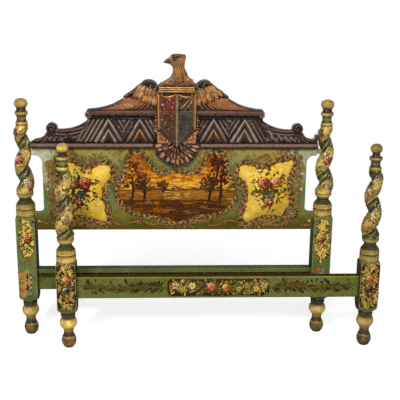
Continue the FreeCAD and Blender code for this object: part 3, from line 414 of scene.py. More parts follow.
# The pale band at the top of the foot rail's front, from 352 mm, is partly a worn edge and partly a painted
# highlight.
FOOT_RAIL_BANDS = (
    ((252, MID_GREEN), (352, MID_GREEN), (356, RAIL_EDGE), (358, RAIL_EDGE)),
    ((252, SOFT_GREEN), (352, SOFT_GREEN), (356, SAGE_PALE), (358, OCHRE)))
# rail_top picks the rails' top faces, which are darkened as painted shade; on the foot rail it also dulls the
# varnish.
rail_top = looking("Z", 300, 400, 0.95)


def rail_tones(bands, *shades):
    """The two tones of a rail, each shaded on its top face."""
    return [shaded(by_height(*stops), rail_top, shade) for stops, shade in zip(bands, shades)]


panel_paint = painted(
    "panel_sage_paint", *(patched(by_height(*stops), *EAR_WEAR) for stops in PANEL_BANDS),
    grime=mixed(OCHRE_DEEP, SAGE_DEEP, 0.4), rubbed=CREAM, fleck=OCHRE_PALE, mottle=11.0, wear=0.75,
    varnish=0.06, back=BACK_BARE)
head_rail_paint = painted(
    "head_rail_paint", *rail_tones(HEAD_RAIL_BANDS, RAIL_SHADE, SAGE_DEEP),
    grime=RAIL_GRIME_AND_SHADE, rubbed=SAGE_PALE, mottle=10.0, varnish=0.1)
foot_rail_paint = painted(
    "foot_rail_paint", *rail_tones(FOOT_RAIL_BANDS, RAIL_SHADE, UMBER_DEEP),
    grime=RAIL_GRIME_AND_SHADE, rubbed=RAIL_EDGE, fleck=SAGE_PALE, mottle=14.0, flecks=0.3, varnish=0.08, matt=rail_top)
cover(panel_paint, "head_panel")
cover(head_rail_paint, "head_rail", "head_pegs")
cover(foot_rail_paint, "foot_rail", "foot_pegs")
print("panel and rails painted")

# %% [markdown]
# ## Posts, collars and finials
# A turner leaves rings and hollows, and the painter picked them out: brown buns, ochre bulbs, a green
# block, an ochre collar with dark lines, and a gilded finial. The bands follow the turning, so a ramp
# on the height does the work for each post. The blocks' side faces are painted darker, found by their
# own normals: painted shade. The left post has a bare patch beside its hook plate.

# %% Paint the posts and the finials
BUN_RED, OLIVE, BARE_WOOD = tones("5a2c14 8a7c34 b07a20")
BUN_HIGH = 52
BLOCK_LOW = 190
FOOT_BANDS = ((0, SOOT), (12, BUN_RED), (30, OCHRE_DEEP), (48, BUN_RED), (56, OCHRE), (59, SOOT),
              (64, GROOVE), (78, OCHRE_DEEP), (92, OLIVE), (108, OCHRE_PALE),
              (124, mixed(OCHRE_PALE, YELLOW_PALE, 0.8)), (142, OCHRE_PALE), (148, OLIVE), (151, SOOT),
              (158, OCHRE_DEEP), (178, SOOT))
COLLAR_BANDS = ((0, SOOT), (3, OCHRE), (14, OCHRE_PALE), (29, OCHRE), (30, SOOT), (36, SOOT),
                (38, OCHRE_PALE), (50, OCHRE), (58, OLIVE), (61, SOOT), (64, SAGE_DEEP), (78, GROOVE),
                (86, SOOT), (88, SAGE), (102, OCHRE_PALE), (114, SAGE_DEEP))
FINIAL_BANDS = ((0, OCHRE), (14, OCHRE_PALE), (17, SOOT), (22, GROOVE), (32, OLIVE), (42, SAGE_DEEP),
                (45, SOOT), (49, OLIVE), (58, OCHRE_PALE), (64, SAGE_DEEP), (67, SOOT), (78, GROOVE),
                (84, OCHRE_DEEP), (90, OCHRE), (104, OCHRE_PALE), (124, OCHRE))
BLOCK_TOPS = {"head_left": 612, "head_right": 612, "foot_left": 434, "foot_right": 434}
# The right foot post's paint is darkened towards soot and the left's lightened: painted shade and painted
# light on copies of one paint.
POST_LIGHT_AND_SHADE = {"head_left": 0.0, "head_right": 0.0, "foot_left": -0.25, "foot_right": 0.28}


def dim(bands, share, shade_depth=0.0):
    """Bands faded to brown by a share, and darkened towards soot by a shade depth as painted shade; a
    negative depth lightens them as painted light.
    """
    return [(v, mixed(mixed(c, OCHRE_DEEP, share), SOOT, shade_depth)) for v, c in bands]


def post_bands(block_top, share, shade_depth, block):
    """Foot, block and collar bands for a post whose block ends at that height."""
    bands = [(v, mixed(c, OCHRE_PALE, share) if 0 < v < BUN_HIGH else c) for v, c in FOOT_BANDS]
    lower = by_height(*dim(bands, share, shade_depth), (182, SAGE_DEEP), (235, block), (block_top - 6, block))
    upper = by_height(*((block_top + v, c) for v, c in dim(COLLAR_BANDS, share, shade_depth)))

    def wire(tree):
        above = maths(tree, "GREATER_THAN", parts_of(tree)["Z"], (block_top - 1) * MM)
        return blend(tree, above, lower(tree), upper(tree))

    # The block's side faces are darkened to soot: painted shade.
    return shaded(wire, looking("X", BLOCK_LOW, block_top - 4, 0.68))


patch_x = post_axis("head_left").x - 22 * MM
bare_patch = [(Vector((patch_x, 0.034, z)), 0.030, BARE_WOOD) for z in (0.235, 0.262, 0.288, 0.310)]
turned_look = {"grime": GROOVE, "bump": 0.5, "varnish": 0.4, "slant": 0.85}
for post, block_top in BLOCK_TOPS.items():
    shade_depth = POST_LIGHT_AND_SHADE[post]
    fresh = post_bands(block_top, 0.0, shade_depth, SAGE)
    faded = post_bands(block_top, 0.35, shade_depth, mixed(SAGE_DEEP, SEA_GREEN, 0.6))
    if post == "head_left":
        fresh, faded = patched(fresh, *bare_patch), patched(faded, *bare_patch)
    post_paint = painted(f"{post}_paint", fresh, faded, rubbed=CREAM, mottle=30.0, wear=0.7,
                         matt=looking("X", BLOCK_LOW, block_top - 4, 0.9), **turned_look)
    foot = round(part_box(f"{post}_finial")[0].z / MM)
    fresh, faded = (by_height(*((foot + v, c) for v, c in dim(FINIAL_BANDS, share, shade_depth)))
                    for share in (0.0, 0.45))
    finial_paint = painted(f"{post}_finial_paint", fresh, faded, mottle=34.0, flecks=0.35, **turned_look)
    cover(post_paint, f"{post}_post", f"{post}_hook_plate")
    cover(finial_paint, f"{post}_finial")
print("posts and finials painted")

# %% [markdown]
# ## Twisted shafts
# The shafts are painted along the twist: gold on the crest of the rope, green on its flanks and in the
# groove, with a dark line between, which is partly dark paint and partly painted shade where the twist
# turns in. The angle round the shaft, less one turn per pitch of height, is
# constant along the crest, so that number drives the ramp and the paint follows the carving exactly.

# %% Paint the shafts
TWIST_PITCH = 152 * MM
TWIST_START = {"head": 49 * MM, "foot": 130 * MM}
CREST_TO_GROOVE = (
    ((0.0, OCHRE_PALE), (0.25, OCHRE), (0.5, OLIVE), (0.62, OCHRE_PALE), (0.70, GROOVE),
     (0.82, SAGE_DEEP), (1.0, OLIVE)),
    ((0.0, YELLOW_PALE), (0.2, OCHRE_PALE), (0.42, OLIVE), (0.6, SAGE), (0.7, GROOVE), (0.84, GROOVE),
     (1.0, SAGE)))


def along_twist(axis, start, *stops):
    """A function that wires a colour band from the crest of the twist, 0, to its groove, 1."""
    def wire(tree):
        place = spot_on(tree)
        wobble = maths(tree, "MULTIPLY_ADD", noise(tree, place, 30.0, 4.0, 0.65), 0.2, -0.1)
        local = add(tree, "Mapping", {"Vector": place, "Location": (-axis.x, -axis.y, -start)}).outputs[0]
        part = parts_of(tree, local)
        turn = maths(tree, "DIVIDE", maths(tree, "ARCTAN2", part["Y"], part["X"]), tau)
        phase = maths(tree, "SUBTRACT", turn, maths(tree, "DIVIDE", part["Z"], TWIST_PITCH))
        phase = maths(tree, "ADD", phase, wobble)
        return ramp(tree, maths(tree, "MULTIPLY", maths(tree, "PINGPONG", phase, 0.5), 2.0), *stops)

    return wire


shafts = {}
for post, shade_depth in POST_LIGHT_AND_SHADE.items():
    axis, low, high = post_axis(post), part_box(f"{post}_post")[1].z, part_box(f"{post}_finial")[0].z
    start = low + TWIST_START[post[:4]]
    shafts[post] = axis, low, high, start
    fresh, faded = (along_twist(axis, start, *dim(stops, 0.0, max(0.0, shade_depth))) for stops in CREST_TO_GROOVE)
    shaft_paint = painted(f"{post}_column_paint", fresh, faded, grime=GROOVE, mottle=26.0, crackle=0.3,
                          flecks=0.35, bump=0.5, varnish=0.45, slant=0.8)
    cover(shaft_paint, f"{post}_column")
print("shafts:", {post: (round(low, 3), round(high, 3)) for post, (_, low, high, _) in shafts.items()})

# %% [markdown]
# ## Carved crest
# The crest is not painted but stained almost black, and long polishing has lightened its edges to a
# warm grey and tan. The same recipe serves, with strong darkening in hollow places, partly dirt and
# partly painted shade, and strong rubbed edges.

# %% Stain the crest, the eagle and the backs
# Soot at the foot of the base moulding, 944 to 948 mm, and at the foot of the ledge, up to 1094 mm, is
# painted shadow; the base moulding also ends at its top in a soot line.
MOULDING_BANDS = ((944, SOOT), (948, SOOT), (951, UMBER), (962, mixed(UMBER, LILAC, 0.7)), (968, UMBER),
                  (970, SOOT), (1094, SOOT), (1098, UMBER_DEEP), (1108, UMBER),
                  (1122, mixed(UMBER, LILAC, 0.4)))
crest_stain = stained_and_shaded("crest_stain", UMBER_DEEP, mixed(UMBER_DEEP, UMBER, 0.6), rubbed=LILAC, fleck=LILAC,
                      mottle=22.0, wear=0.9, flecks=0.5, bump=0.6, varnish=0.3, back=BACK_BARE)
moulding_stain_and_shadow = stained_and_shaded("moulding_stain_and_shadow", by_height(*MOULDING_BANDS), by_height(*MOULDING_BANDS),
                         rubbed=LILAC, fleck=LILAC, mottle=20.0, bump=0.6, varnish=0.2)
wing_stain = stained_and_shaded("wing_stain", UMBER_DEEP, UMBER, rubbed=CHESTNUT, mottle=26.0, bump=0.4, varnish=0.2)
iron = stained_and_shaded("nail_iron", IRON, SOOT, 0.75, rubbed=LILAC, mottle=60.0, flecks=0.0)
steel = stained_and_shaded("screw_steel", tone("77726a"), IRON, 0.75, rubbed=tone("b8b2a6"), mottle=70.0)
for metal, shine in ((iron, 0.6), (steel, 0.85)):
    metal.node_tree.nodes["Principled BSDF"].inputs["Metallic"].default_value = shine
timber, tree, shader = surface("batten_timber", 0.0)
wood = add(tree, "Group", {"Grain": (40, 40, 3)}, node_tree=TIMBER).outputs
rough = maths(tree, "MULTIPLY_ADD", wood["Height"], 0.2, 0.6)
dress(tree, shader, wood["Color"], rough, wood["Height"], 0.3)
cover(crest_stain, "crest_board", "eagle_body")
cover(moulding_stain_and_shadow, "base_moulding_left", "base_moulding_right", "ledge_left", "ledge_right")
cover(wing_stain, "left_wing", "right_wing", "eagle_tail", "shield_cap")
cover(iron, "moulding_nails", "foot_left_hook_plate", "foot_right_hook_plate")
cover(steel, "batten_screws", "head_plate_screws", "foot_plate_screws")
cover(timber, "back_batten_left", "back_batten_right", "crest_dowels", "wing_dowels", "eagle_dowels")
print("crest stained")

# %% [markdown]
# ## Shield
# The shield has four plain fields in red, olive, brown and slate, a cream ridge down the middle and
# tan borders. Straight thresholds on the coordinates divide the fields, as masking tape would.

# %% Paint the shield
SHIELD_HALF = (shield_high.x - shield_low.x) / 2
FIELD_SPLIT = shield_high.z - 83 * MM
SHIELD_SLOPE = 84 / 87
BORDER, TIP, RIDGE_HALF = 6 * MM, 15 * MM, 3.6 * MM


def shield_fields(faded):
    """The four field colours, ridge and borders, mixed a little towards the faded tone."""
    red, olive, brown, slate, ridge = (
        mixed(c, faded, 0.3) for c in (*tones("701c14 483818 4c2812"), SLATE, tone("8a7858")))

    def wire(tree):
        part = parts_of(tree)
        across = maths(tree, "SUBTRACT", part["X"], EAGLE_X)
        away = maths(tree, "ABSOLUTE", across)
        right = maths(tree, "GREATER_THAN", across, 0.0)
        lower = maths(tree, "LESS_THAN", part["Z"], FIELD_SPLIT)
        colour = blend(tree, lower, blend(tree, right, red, olive), blend(tree, right, brown, slate))
        floor = maths(tree, "MULTIPLY_ADD", away, SHIELD_SLOPE, shield_low.z)
        tip = maths(tree, "LESS_THAN", maths(tree, "SUBTRACT", part["Z"], floor), TIP)
        colour = blend(tree, tip, colour, UMBER_DEEP)
        colour = blend(tree, maths(tree, "GREATER_THAN", away, SHIELD_HALF - BORDER), colour, TAN)
        return blend(tree, maths(tree, "LESS_THAN", away, RIDGE_HALF), colour, ridge)

    return wire


shield_paint = painted("shield_paint", shield_fields(SOOT), shield_fields(UMBER), grime=SOOT, fleck=LILAC,
                       mottle=40.0, crackle=0.2, wear=0.5, flecks=0.5, bump=0.6, varnish=0.4)
cover(shield_paint, "shield")
print("shield painted")

# %% [markdown]
# ## Stamps
# A carver uses the same gouge for a hundred cuts, and a flower painter the same brush for a thousand
# petals. Each such mark is a small closed mesh of a few dozen faces, made once in unit size with a
# primitive or a short tapered curve. Stamping copies it to a canvas, sets it in place with one matrix
# and tints it from dark at its rim to light at its crest in a colour attribute. The dark rim is painted
# shade and the light crest a painted highlight on the mark's relief; on the gilt and the carving the
# crest is partly rubbed wear as well.

# %% Marks of the brush and the gouge


def settled(bm, mesh):
    """Writes a bmesh to a mesh and frees it."""
    bm.to_mesh(mesh)
    bm.free()
    return mesh


def shaped(bend, across=8, down=4):
    """A flattened ball whose outline is bent by a function of its length."""
    bm = bmesh.new()
    bmesh.ops.create_uvsphere(bm, u_segments=across, v_segments=down, radius=1.0)
    for vert in bm.verts:
        vert.co.y *= bend(vert.co.x)
    return settled(bm, bpy.data.meshes.new("mark"))


def tube(line, radii, sides=0, flat=1.0):
    """A tapered round rod along a line, as a mesh; flat squeezes it towards the easel."""
    curve = bpy.data.curves.new("rod", "CURVE")
    curve.dimensions, curve.bevel_depth, curve.bevel_resolution = "3D", 1.0, sides
    curve.use_fill_caps = True
    spline = curve.splines.new("POLY")
    spline.points.add(len(line) - 1)
    for knot, point, radius in zip(spline.points, line, radii):
        knot.co = (*Vector(point).to_3d(), 1.0)
        knot.radius = radius
    holder = bpy.data.objects.new("rod", curve)
    mesh = bpy.data.meshes.new_from_object(holder)
    bpy.data.objects.remove(holder)
    bpy.data.curves.remove(curve)
    bm = bmesh.new()
    bm.from_mesh(mesh)
    bmesh.ops.remove_doubles(bm, verts=bm.verts, dist=1e-5)
    bmesh.ops.recalc_face_normals(bm, faces=bm.faces)
    bmesh.ops.scale(bm, vec=(1, 1, flat), verts=bm.verts)
    return settled(bm, mesh)


def wound(turns, count, thick, tighten):
    """A bent rod in unit size that winds in and thins towards its eye."""
    shares = [k / (count - 1) for k in range(count)]
    line = [Vector((cos(turns * tau * t), sin(turns * tau * t), 0)) * (1 - tighten * t) for t in shares]
    return tube(line, [thick * (0.4 + 2.2 * t * (1 - t)) for t in shares])


COMMA_LINE = [(-1 + 2 * t, 0.9 * t * (1 - t) - 0.5 * t * t, 0) for t in (0, 0.2, 0.4, 0.6, 0.8, 1)]
PETAL = shaped(lambda x: 1.0)
LEAF_MARK = shaped(lambda x: 1.0 - 0.62 * x * x)
DROP = shaped(lambda x: 0.62 - 0.55 * x)
FEATHER = shaped(lambda x: 0.8 + 0.35 * x)
COMMA = tube(COMMA_LINE, [0.10, 0.34, 0.36, 0.26, 0.16, 0.05], 1)
CURL = wound(1.35, 13, 0.34, 0.72)
HOOP = wound(0.62, 8, 0.32, 0.25)
CRESCENT = wound(0.46, 7, 0.5, 0.1)
CURLY = (CURL, COMMA, COMMA, HOOP)
MARKS = (PETAL, LEAF_MARK, DROP, FEATHER, COMMA, CURL, HOOP, CRESCENT)
print("marks:", [len(mark.polygons) for mark in MARKS], "faces")

# %% [markdown]
# A "brush" is a canvas with the easel that it stands on. A mark's place is a short row of numbers: u, v,
# lift, turn, length, width and height. A finished canvas is hung on the bed as one piece.

# %% Canvas, stamp and hang


def new_canvas():
    bm = bmesh.new()
    bm.verts.layers.float_color.new("tint")
    return bm


def spot(u, v, lift=0.0, turn=0.0, long=10.0, wide=None, high=1.0):
    """Where a mark goes on an easel: its place, its turn and its size, all in millimetres."""
    size = Matrix.Diagonal((long / 2, (long if wide is None else wide) / 2, high, 1.0))
    return Matrix.Translation((u, v, lift)) @ Matrix.Rotation(turn, 4, "Z") @ size


def stamp(brush, mark, place, dark, light):
    """Copies a mark to a place on the brush's easel, tinted from a painted shade at its rim to a painted
    highlight at its crest.
    """
    canvas, easel = brush
    place = easel @ spot(*place)
    first = len(canvas.verts)
    canvas.from_mesh(mark)
    canvas.verts.ensure_lookup_table()
    added = canvas.verts[first:]
    tint = canvas.verts.layers.float_color["tint"]
    top = max(vert.co.z for vert in added)
    for vert in added:
        vert[tint] = mixed(dark, light, max(0.0, vert.co.z / top) ** 0.6)
    bmesh.ops.transform(canvas, matrix=place, verts=added)
    if place.determinant() < 0:
        bmesh.ops.reverse_faces(canvas, faces=list({face for vert in added for face in vert.link_faces}))


def rod(brush, line, radii, dark, light, lift=0.0, flat=1.0, sides=1):
    """Lays a rod whose points are already in millimetres."""
    stamp(brush, tube(line, radii, sides, flat), (0, 0, lift, 0, 2), dark, light)


def tinted(share):
    """A function that wires the tint attribute, dimmed by a share."""
    def wire(tree):
        colour = add(tree, "Attribute", attribute_name="tint").outputs["Color"]
        return blend(tree, share, colour, UMBER_DEEP)

    return wire


def show(name, data):
    """A new object in the scene."""
    made = bpy.data.objects.new(name, data)
    bpy.context.scene.collection.objects.link(made)
    return made


def hang(canvas, name, body, material):
    """Turns a canvas into a finished piece that rides on a body."""
    mesh = settled(canvas, bpy.data.meshes.new(name))
    mesh.shade_smooth()
    mesh.materials.append(material)
    piece = show(name, mesh)
    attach(piece, body)
    mesh.calc_loop_triangles()
    print(name, "has", len(mesh.loop_triangles), "triangles")
    return piece


brush_paint = painted("brush_paint", tinted(0.0), tinted(0.2), mottle=34.0, crackle=0.2, wear=0.0,
                      hollows=0.3, flecks=0.1)
gesso_gilt = painted("gesso_gilt", tinted(0.0), tinted(0.25), mottle=40.0, crackle=0.0, wear=0.0,
                     hollows=0.7, bump=0.5, varnish=0.35)
twist_paint = painted("twist_paint", tinted(0.0), tinted(0.1), grime=mixed(RUST, SOOT, 0.5), mottle=34.0,
                      crackle=0.2, wear=0.0, hollows=0.5, flecks=0.35, bump=0.4, varnish=0.45, slant=0.8)
carved_wood = stained_and_shaded("carved_wood", tinted(0.0), tinted(0.25), fleck=LILAC, mottle=60.0, wear=0.0,
                      bump=0.8, varnish=0.3)
print("brush paint, gilt gesso, twist paint and carved wood mixed")

# %% [markdown]
# ## Lines that a hand would draw
# Outlines are given by the few points that a hand would mark. A Bezier through each pair of points
# makes the line smooth, and even paces along it say where each stamp of a border goes.

# %% Smooth lines and paces


def smooth(points, closed=False, fine=10):
    """A smooth line through the points, as many short steps."""
    points = [Vector(p).to_3d() for p in points]
    count = len(points)
    line = []
    for i in range(count if closed else count - 1):
        around = (i + k for k in (-1, 0, 1, 2))
        before, here, there, after = (
            points[k % count] if closed else points[min(max(k, 0), count - 1)] for k in around)
        bend = here + (there - before) / 6, there - (after - here) / 6
        line += interpolate_bezier(here, *bend, there, fine + 1)[:-1]
    return line if closed else line + [points[-1]]


def paces(line, step):
    """Places at even steps along a closed line, each with the way out of it."""
    found, ahead = [], 0.0
    for here, there in zip(line, line[1:] + line[:1]):
        way = there - here
        while ahead < way.length:
            found.append((here.lerp(there, ahead / way.length), atan2(way.y, way.x) + pi / 2))
            ahead += step
        ahead -= way.length
    return found


def stroke(brush, points, thick, dark, light, lift=0.6, flat=0.6, taper=True, sides=1):
    """One drawn line: a rod through the points that swells in the middle and thins at both ends."""
    line = smooth(points, fine=6)
    last = len(line) - 1
    swell = [thick * (0.25 + 0.75 * sin(pi * k / last) if taper else 1.0) for k in range(len(line))]
    rod(brush, line, swell, dark, light, lift, flat, sides)


def inside(point, outline):
    """Whether a point lies within a closed outline."""
    u, v, crossed = *point, False
    for a, b in zip(outline, outline[1:] + outline[:1]):
        if (a.y > v) != (b.y > v) and u < a.x + (b.x - a.x) * (v - a.y) / (b.y - a.y):
            crossed = not crossed
    return crossed


def polar(u, v, turn, reach):
    """The place at a reach from another, in the direction turn."""
    return u + reach * cos(turn), v + reach * sin(turn)


def on_side(side, points):
    """Points drawn for the right side, turned over for the left."""
    return [(side * u, v) for u, v in points]


def both_sides(half):
    """A closed outline from its right half."""
    return half + on_side(-1, half[-2:0:-1])


def facing(turn, side):
    """An angle drawn for the right side, turned over for the left."""
    return turn if side > 0 else pi - turn


print("lines ready")

# %% [markdown]
# ## Yellow cartouches
# Two yellow fields with a waisted, scalloped outline carry the bouquets. Each is a thin coat of paint
# on the panel: a disc of vertices laid on the outline and extruded by under a millimetre. Its cloudy
# yellow comes from the paint. The right one is drawn and the left is its mirror, a little narrower.

# %% Lay in the cartouches
CARTOUCHE = [(300, 826), (307, 854), (328, 866), (357, 864), (388, 850), (420, 845), (452, 858), (486, 874),
             (520, 882), (553, 890), (566, 874), (556, 837), (543, 794), (539, 755), (550, 712), (550, 668),
             (538, 632), (512, 606), (482, 610), (450, 615), (420, 606), (382, 591), (346, 578), (328, 584),
             (325, 612), (334, 640), (332, 668), (345, 694), (343, 726), (336, 760), (316, 784), (302, 804)]
LEFT_REACH = 550
left_half = [(-min(u, LEFT_REACH), v) for u, v in reversed(CARTOUCHE)]
cartouches = [smooth(CARTOUCHE, True, 4), smooth(left_half, True, 4)]


def coat(canvas, easel, outline, rim, field, rise=0.8):
    """A thin flat coat of paint within an outline, darker along its foot."""
    ring = bmesh.ops.create_circle(canvas, segments=len(outline), radius=1.0, cap_ends=True)["verts"]
    for vert, point in zip(ring, outline):
        vert.co = point
    raised = bmesh.ops.extrude_face_region(canvas, geom=list(ring[0].link_faces))["geom"]
    top = [part for part in raised if isinstance(part, bmesh.types.BMFace)]
    edge = [part for part in raised if isinstance(part, bmesh.types.BMVert)]
    bmesh.ops.translate(canvas, vec=(0, 0, rise), verts=edge)
    tint = canvas.verts.layers.float_color["tint"]
    for verts, colour in ((ring, rim), (edge, field)):
        for vert in verts:
            vert[tint] = colour
    bmesh.ops.transform(canvas, matrix=easel, verts=ring + edge)
    faces = list({face for vert in ring + edge for face in vert.link_faces})
    bmesh.ops.recalc_face_normals(canvas, faces=faces)
    bmesh.ops.triangulate(canvas, faces=top, ngon_method="BEAUTY")


canvas = new_canvas()
for outline in cartouches:
    coat(canvas, panel_easel, outline, YELLOW_DEEP, YELLOW)
yellow_coat = painted("yellow_coat", tinted(0.0),
                      lambda tree: blend(tree, 0.55, tinted(0.0)(tree), YELLOW_PALE), grime=YELLOW_DEEP,
                      mottle=14.0, crackle=0.35, wear=0.0, flecks=0.15, varnish=0.08)
hang(canvas, "cartouche_fields", "headboard", yellow_coat)

# %% [markdown]
# ## Flowers
# The bouquets are painted wet in wet: a rose is two rings of petals, lighter on the side the light
# comes from, with two pale crescents round a dark eye. Leaves are pointed dabs with a lighter middle.
# Drawing each dab as a low mound of paint keeps the brushwork in the mesh itself.

# %% Roses, blossoms and leaves


def lit_tone(deep, middle, pale, lit):
    """A three-step shade: deep in the shadow, pale in the light."""
    lit = min(1.0, max(0.0, lit))
    return mixed(deep, middle, lit * 2) if lit < 0.5 else mixed(middle, pale, lit * 2 - 1)


def rose(brush, u, v, size, deep=ROSE_DEEP, middle=ROSE, pale=ROSE_PALE, lift=0.8):
    """Two rings of petals lit from the upper left, and two crescents round a dark eye."""
    petal = 0.42 * size, 0.252 * size, 0.8
    for ring, (count, reach) in enumerate(((8, 0.34), (5, 0.19))):
        for k in range(count):
            turn = tau * (k + 0.4 * ring) / count + roll(-0.25, 0.25)
            lit = 0.3 + 0.2 * ring + 0.35 * cos(turn - 2.3) + roll(-0.25, 0.25)
            place = (*polar(u, v, turn, reach * size), lift + 0.5 * ring, turn + pi / 2 + 0.3, *petal)
            stamp(brush, PETAL, place, deep, lit_tone(deep, middle, pale, lit))
    for shift, turn, wide, glow in ((0.10, pi - 0.9, 0.46, 0.25), (-0.07, 0.9, 0.62, 1.0)):
        place = u + shift * size, v - shift * size, lift + 1.2, turn, wide * size
        stamp(brush, CRESCENT, place, mixed(middle, pale, 0.5 * glow), mixed(middle, pale, glow))
    eye = u + 0.03 * size, v - 0.02 * size, lift + 1.4, 0, size * 0.24, size * 0.2, 0.8
    stamp(brush, PETAL, eye, deep, mixed(deep, middle, 0.2))


def blossom(brush, u, v, size, petal=CREAM, heart=ROSE_DEEP, count=5, lift=0.8):
    """A small open flower."""
    for k in range(count):
        turn = tau * k / count + roll(-0.2, 0.2)
        place = (*polar(u, v, turn, 0.3 * size), lift, turn, size * 0.5, size * 0.36, 0.8)
        stamp(brush, PETAL, place, mixed(petal, UMBER, 0.5), petal)
    stamp(brush, PETAL, (u, v, lift + 0.5, 0, size * 0.3, None, 0.9), heart, mixed(heart, YELLOW, 0.3))


def leaf(brush, u, v, turn, long, dark=LEAF_DARK, light=LEAF, wide=0.42, lift=0.6):
    """A pointed leaf that starts at the given place."""
    place = (*polar(u, v, turn, 0.5 * long), lift, turn, long, long * wide, 0.8)
    stamp(brush, LEAF_MARK, place, dark, light)


def leaves(brush, u, v, count, reach, long, **colours):
    """A spray of leaves round a centre."""
    for k in range(count):
        turn = tau * k / count + roll(-0.3, 0.3)
        leaf(brush, *polar(u, v, turn, reach), turn, long * roll(0.8, 1.2), **colours)


print("flowers ready")

# %% [markdown]
# Each cartouche holds one bouquet: two big roses and a small one in a thicket of leaves, with sprigs of
# buds round them. The thicket is thrown by chance, dense in the middle and thin at its edge.

# %% Paint the two bouquets
PEACH, BRICK, WINE, TEAL = tones("eeb06a 8a3410 340808 4c6658")
THICKET = (LEAF, LEAF_DARK, BLUE_GREEN, OCHRE_DEEP, BRICK, mixed(LEAF_DARK, UMBER, 0.6))
STEMS = (([(452, 735), (459, 690), (452, 640), (438, 622)], 2.4, LEAF_DARK),
         ([(470, 715), (500, 700), (528, 712)], 1.8, LEAF_DARK),
         ([(492, 790), (512, 822), (520, 850)], 1.6, UMBER))
BIG_ROSES = ((426, 772, 64, ROSE_DEEP, ROSE, ROSE_PALE), (483, 776, 52, BRICK, *tones("d08438 f6cc8c")),
             (455, 676, 42, WINE, *tones("8e2014 d8805c")))
SPRIGS = ((371, 778, 24, SAGE), (377, 718, 26, BRICK), (404, 826, 20, tone("b0562a")), (518, 806, 24, BRICK),
          (424, 648, 18, BRICK), (476, 638, 18, UMBER), (512, 736, 22, tone("a85a20")), (532, 716, 16, BRICK),
          (446, 838, 16, UMBER))


def bouquet(brush, side):
    """The bouquet of one cartouche."""
    for points, thick, dark in STEMS:
        stroke(brush, on_side(side, points), thick, dark, LEAF)
    for k in range(150):
        turn, reach = roll(0, tau), chance() ** 0.85
        u, v = 454 + 74 * reach * cos(turn), 742 + 92 * reach * sin(turn)
        light = pick(THICKET)
        long = roll(17, 30) * (1.15 - 0.5 * reach)
        way = facing(turn + stray(0, 0.9), side)
        leaf(brush, side * u, v, way, long, SOOT, light, 0.5, 0.6 + 0.004 * k)
    for k in range(8):
        u, v = roll(438, 470), roll(705, 735)
        leaf(brush, side * u, v, roll(3.4, 6), 22, LEAF_DARK, TEAL, lift=1.2)
    for u, v, *look in BIG_ROSES:
        rose(brush, side * u, v, *look, 1.2)
    stamp(brush, PETAL, (side * 455, 679, 3.4, 0, 9, None, 0.8), CREAM, CREAM)
    for u, v, size, petal in SPRIGS:
        for k in range(6):
            long = size * roll(0.5, 0.9)
            leaf(brush, side * u, v, roll(0, tau), long, SOOT, pick((LEAF, LEAF_DARK, UMBER)), 0.5)
        for k in range(3):
            way = roll(0, tau)
            bud_u, bud_v = polar(u, v, way, 4)
            bud = side * bud_u, bud_v, 1.0, way, size * 0.6, size * 0.4, 0.9
            stamp(brush, PETAL, bud, mixed(petal, SOOT, 0.5), mixed(petal, PEACH, 0.5 * chance()))
    for k in range(36):
        u, v = roll(335, 550), roll(610, 885)
        if inside((u, v), cartouches[0]):
            light = mixed(YELLOW_DEEP, LEAF, 0.5)
            leaf(brush, side * u, v, roll(0, tau), roll(6, 13), YELLOW_DEEP, light)


canvas = new_canvas()
for side in (1, -1):
    bouquet((canvas, panel_easel), side)
hang(canvas, "cartouche_bouquets", "headboard", brush_paint)

# %% [markdown]
# ## Landscape
# Between the bouquets lies a wide landscape in browns and ochres: a low sun over water, dark trees to
# both sides and a brown foreshore. It is painted in short level dabs, far things first, so that the
# nearer ones overlap them.

# %% Lay in the landscape
VIEW_MIDDLE = 6.0
VIEW_HALF = [(0, 826), (78, 814), (125, 847), (153, 900), (190, 917), (224, 895), (240, 813), (278, 749),
             (275, 704), (247, 659), (185, 624), (104, 612), (55, 590), (0, 579)]
view_outline = smooth([(VIEW_MIDDLE + u, v) for u, v in both_sides(VIEW_HALF)], closed=True)
HORIZON, SHORE = 742.0, 690.0
SWEEPS = ((120, 840, 925, "8e3c08 c06a10", 40, 18), (130, 780, 850, "bc6410 dc9418", 46, 14),
          (120, HORIZON, 790, "c8780e e0a828", 46, 11), (40, HORIZON + 4, 776, "cc9a2e e6c860", 40, 10, 70),
          (60, HORIZON - 4, HORIZON + 14, "4a2a0c 6e4010", 60, 12),
          (80, SHORE, HORIZON - 6, "7a4a10 b07a20", 60, 6),
          (26, SHORE + 6, HORIZON - 10, "c09030 e0c060", 30, 4, 60),
          (150, 575, SHORE, "341604 582c06", 64, 10), (50, 575, SHORE - 10, "341a04 5e3c12", 54, 7))
canvas = new_canvas()
panel = canvas, panel_easel
coat(*panel, view_outline, RUST, tone("9a5a0e"))


def sweep(count, low, high, codes, long, wide, spread=285):
    """Level dabs in a band of the landscape, tinted between two colours."""
    for k in range(count):
        u, v = VIEW_MIDDLE + roll(-spread, spread), roll(low, high)
        if inside((u, v), view_outline):
            colour = mixed(*tones(codes), chance())
            size = roll(0.6, 1.3)
            place = u, v, 0.9 + 0.001 * k, stray(0, 0.06), long * size, wide * size, 0.5
            stamp(panel, PETAL, place, mixed(colour, RUST, 0.25), colour)


for row in SWEEPS:
    sweep(*row)
print("landscape laid in")

# %% [markdown]
# A tree is a leaning trunk under a crown of round dabs, thrown by chance within an oval and lighter on
# the side of the low sun. Reeds on the shore come last.

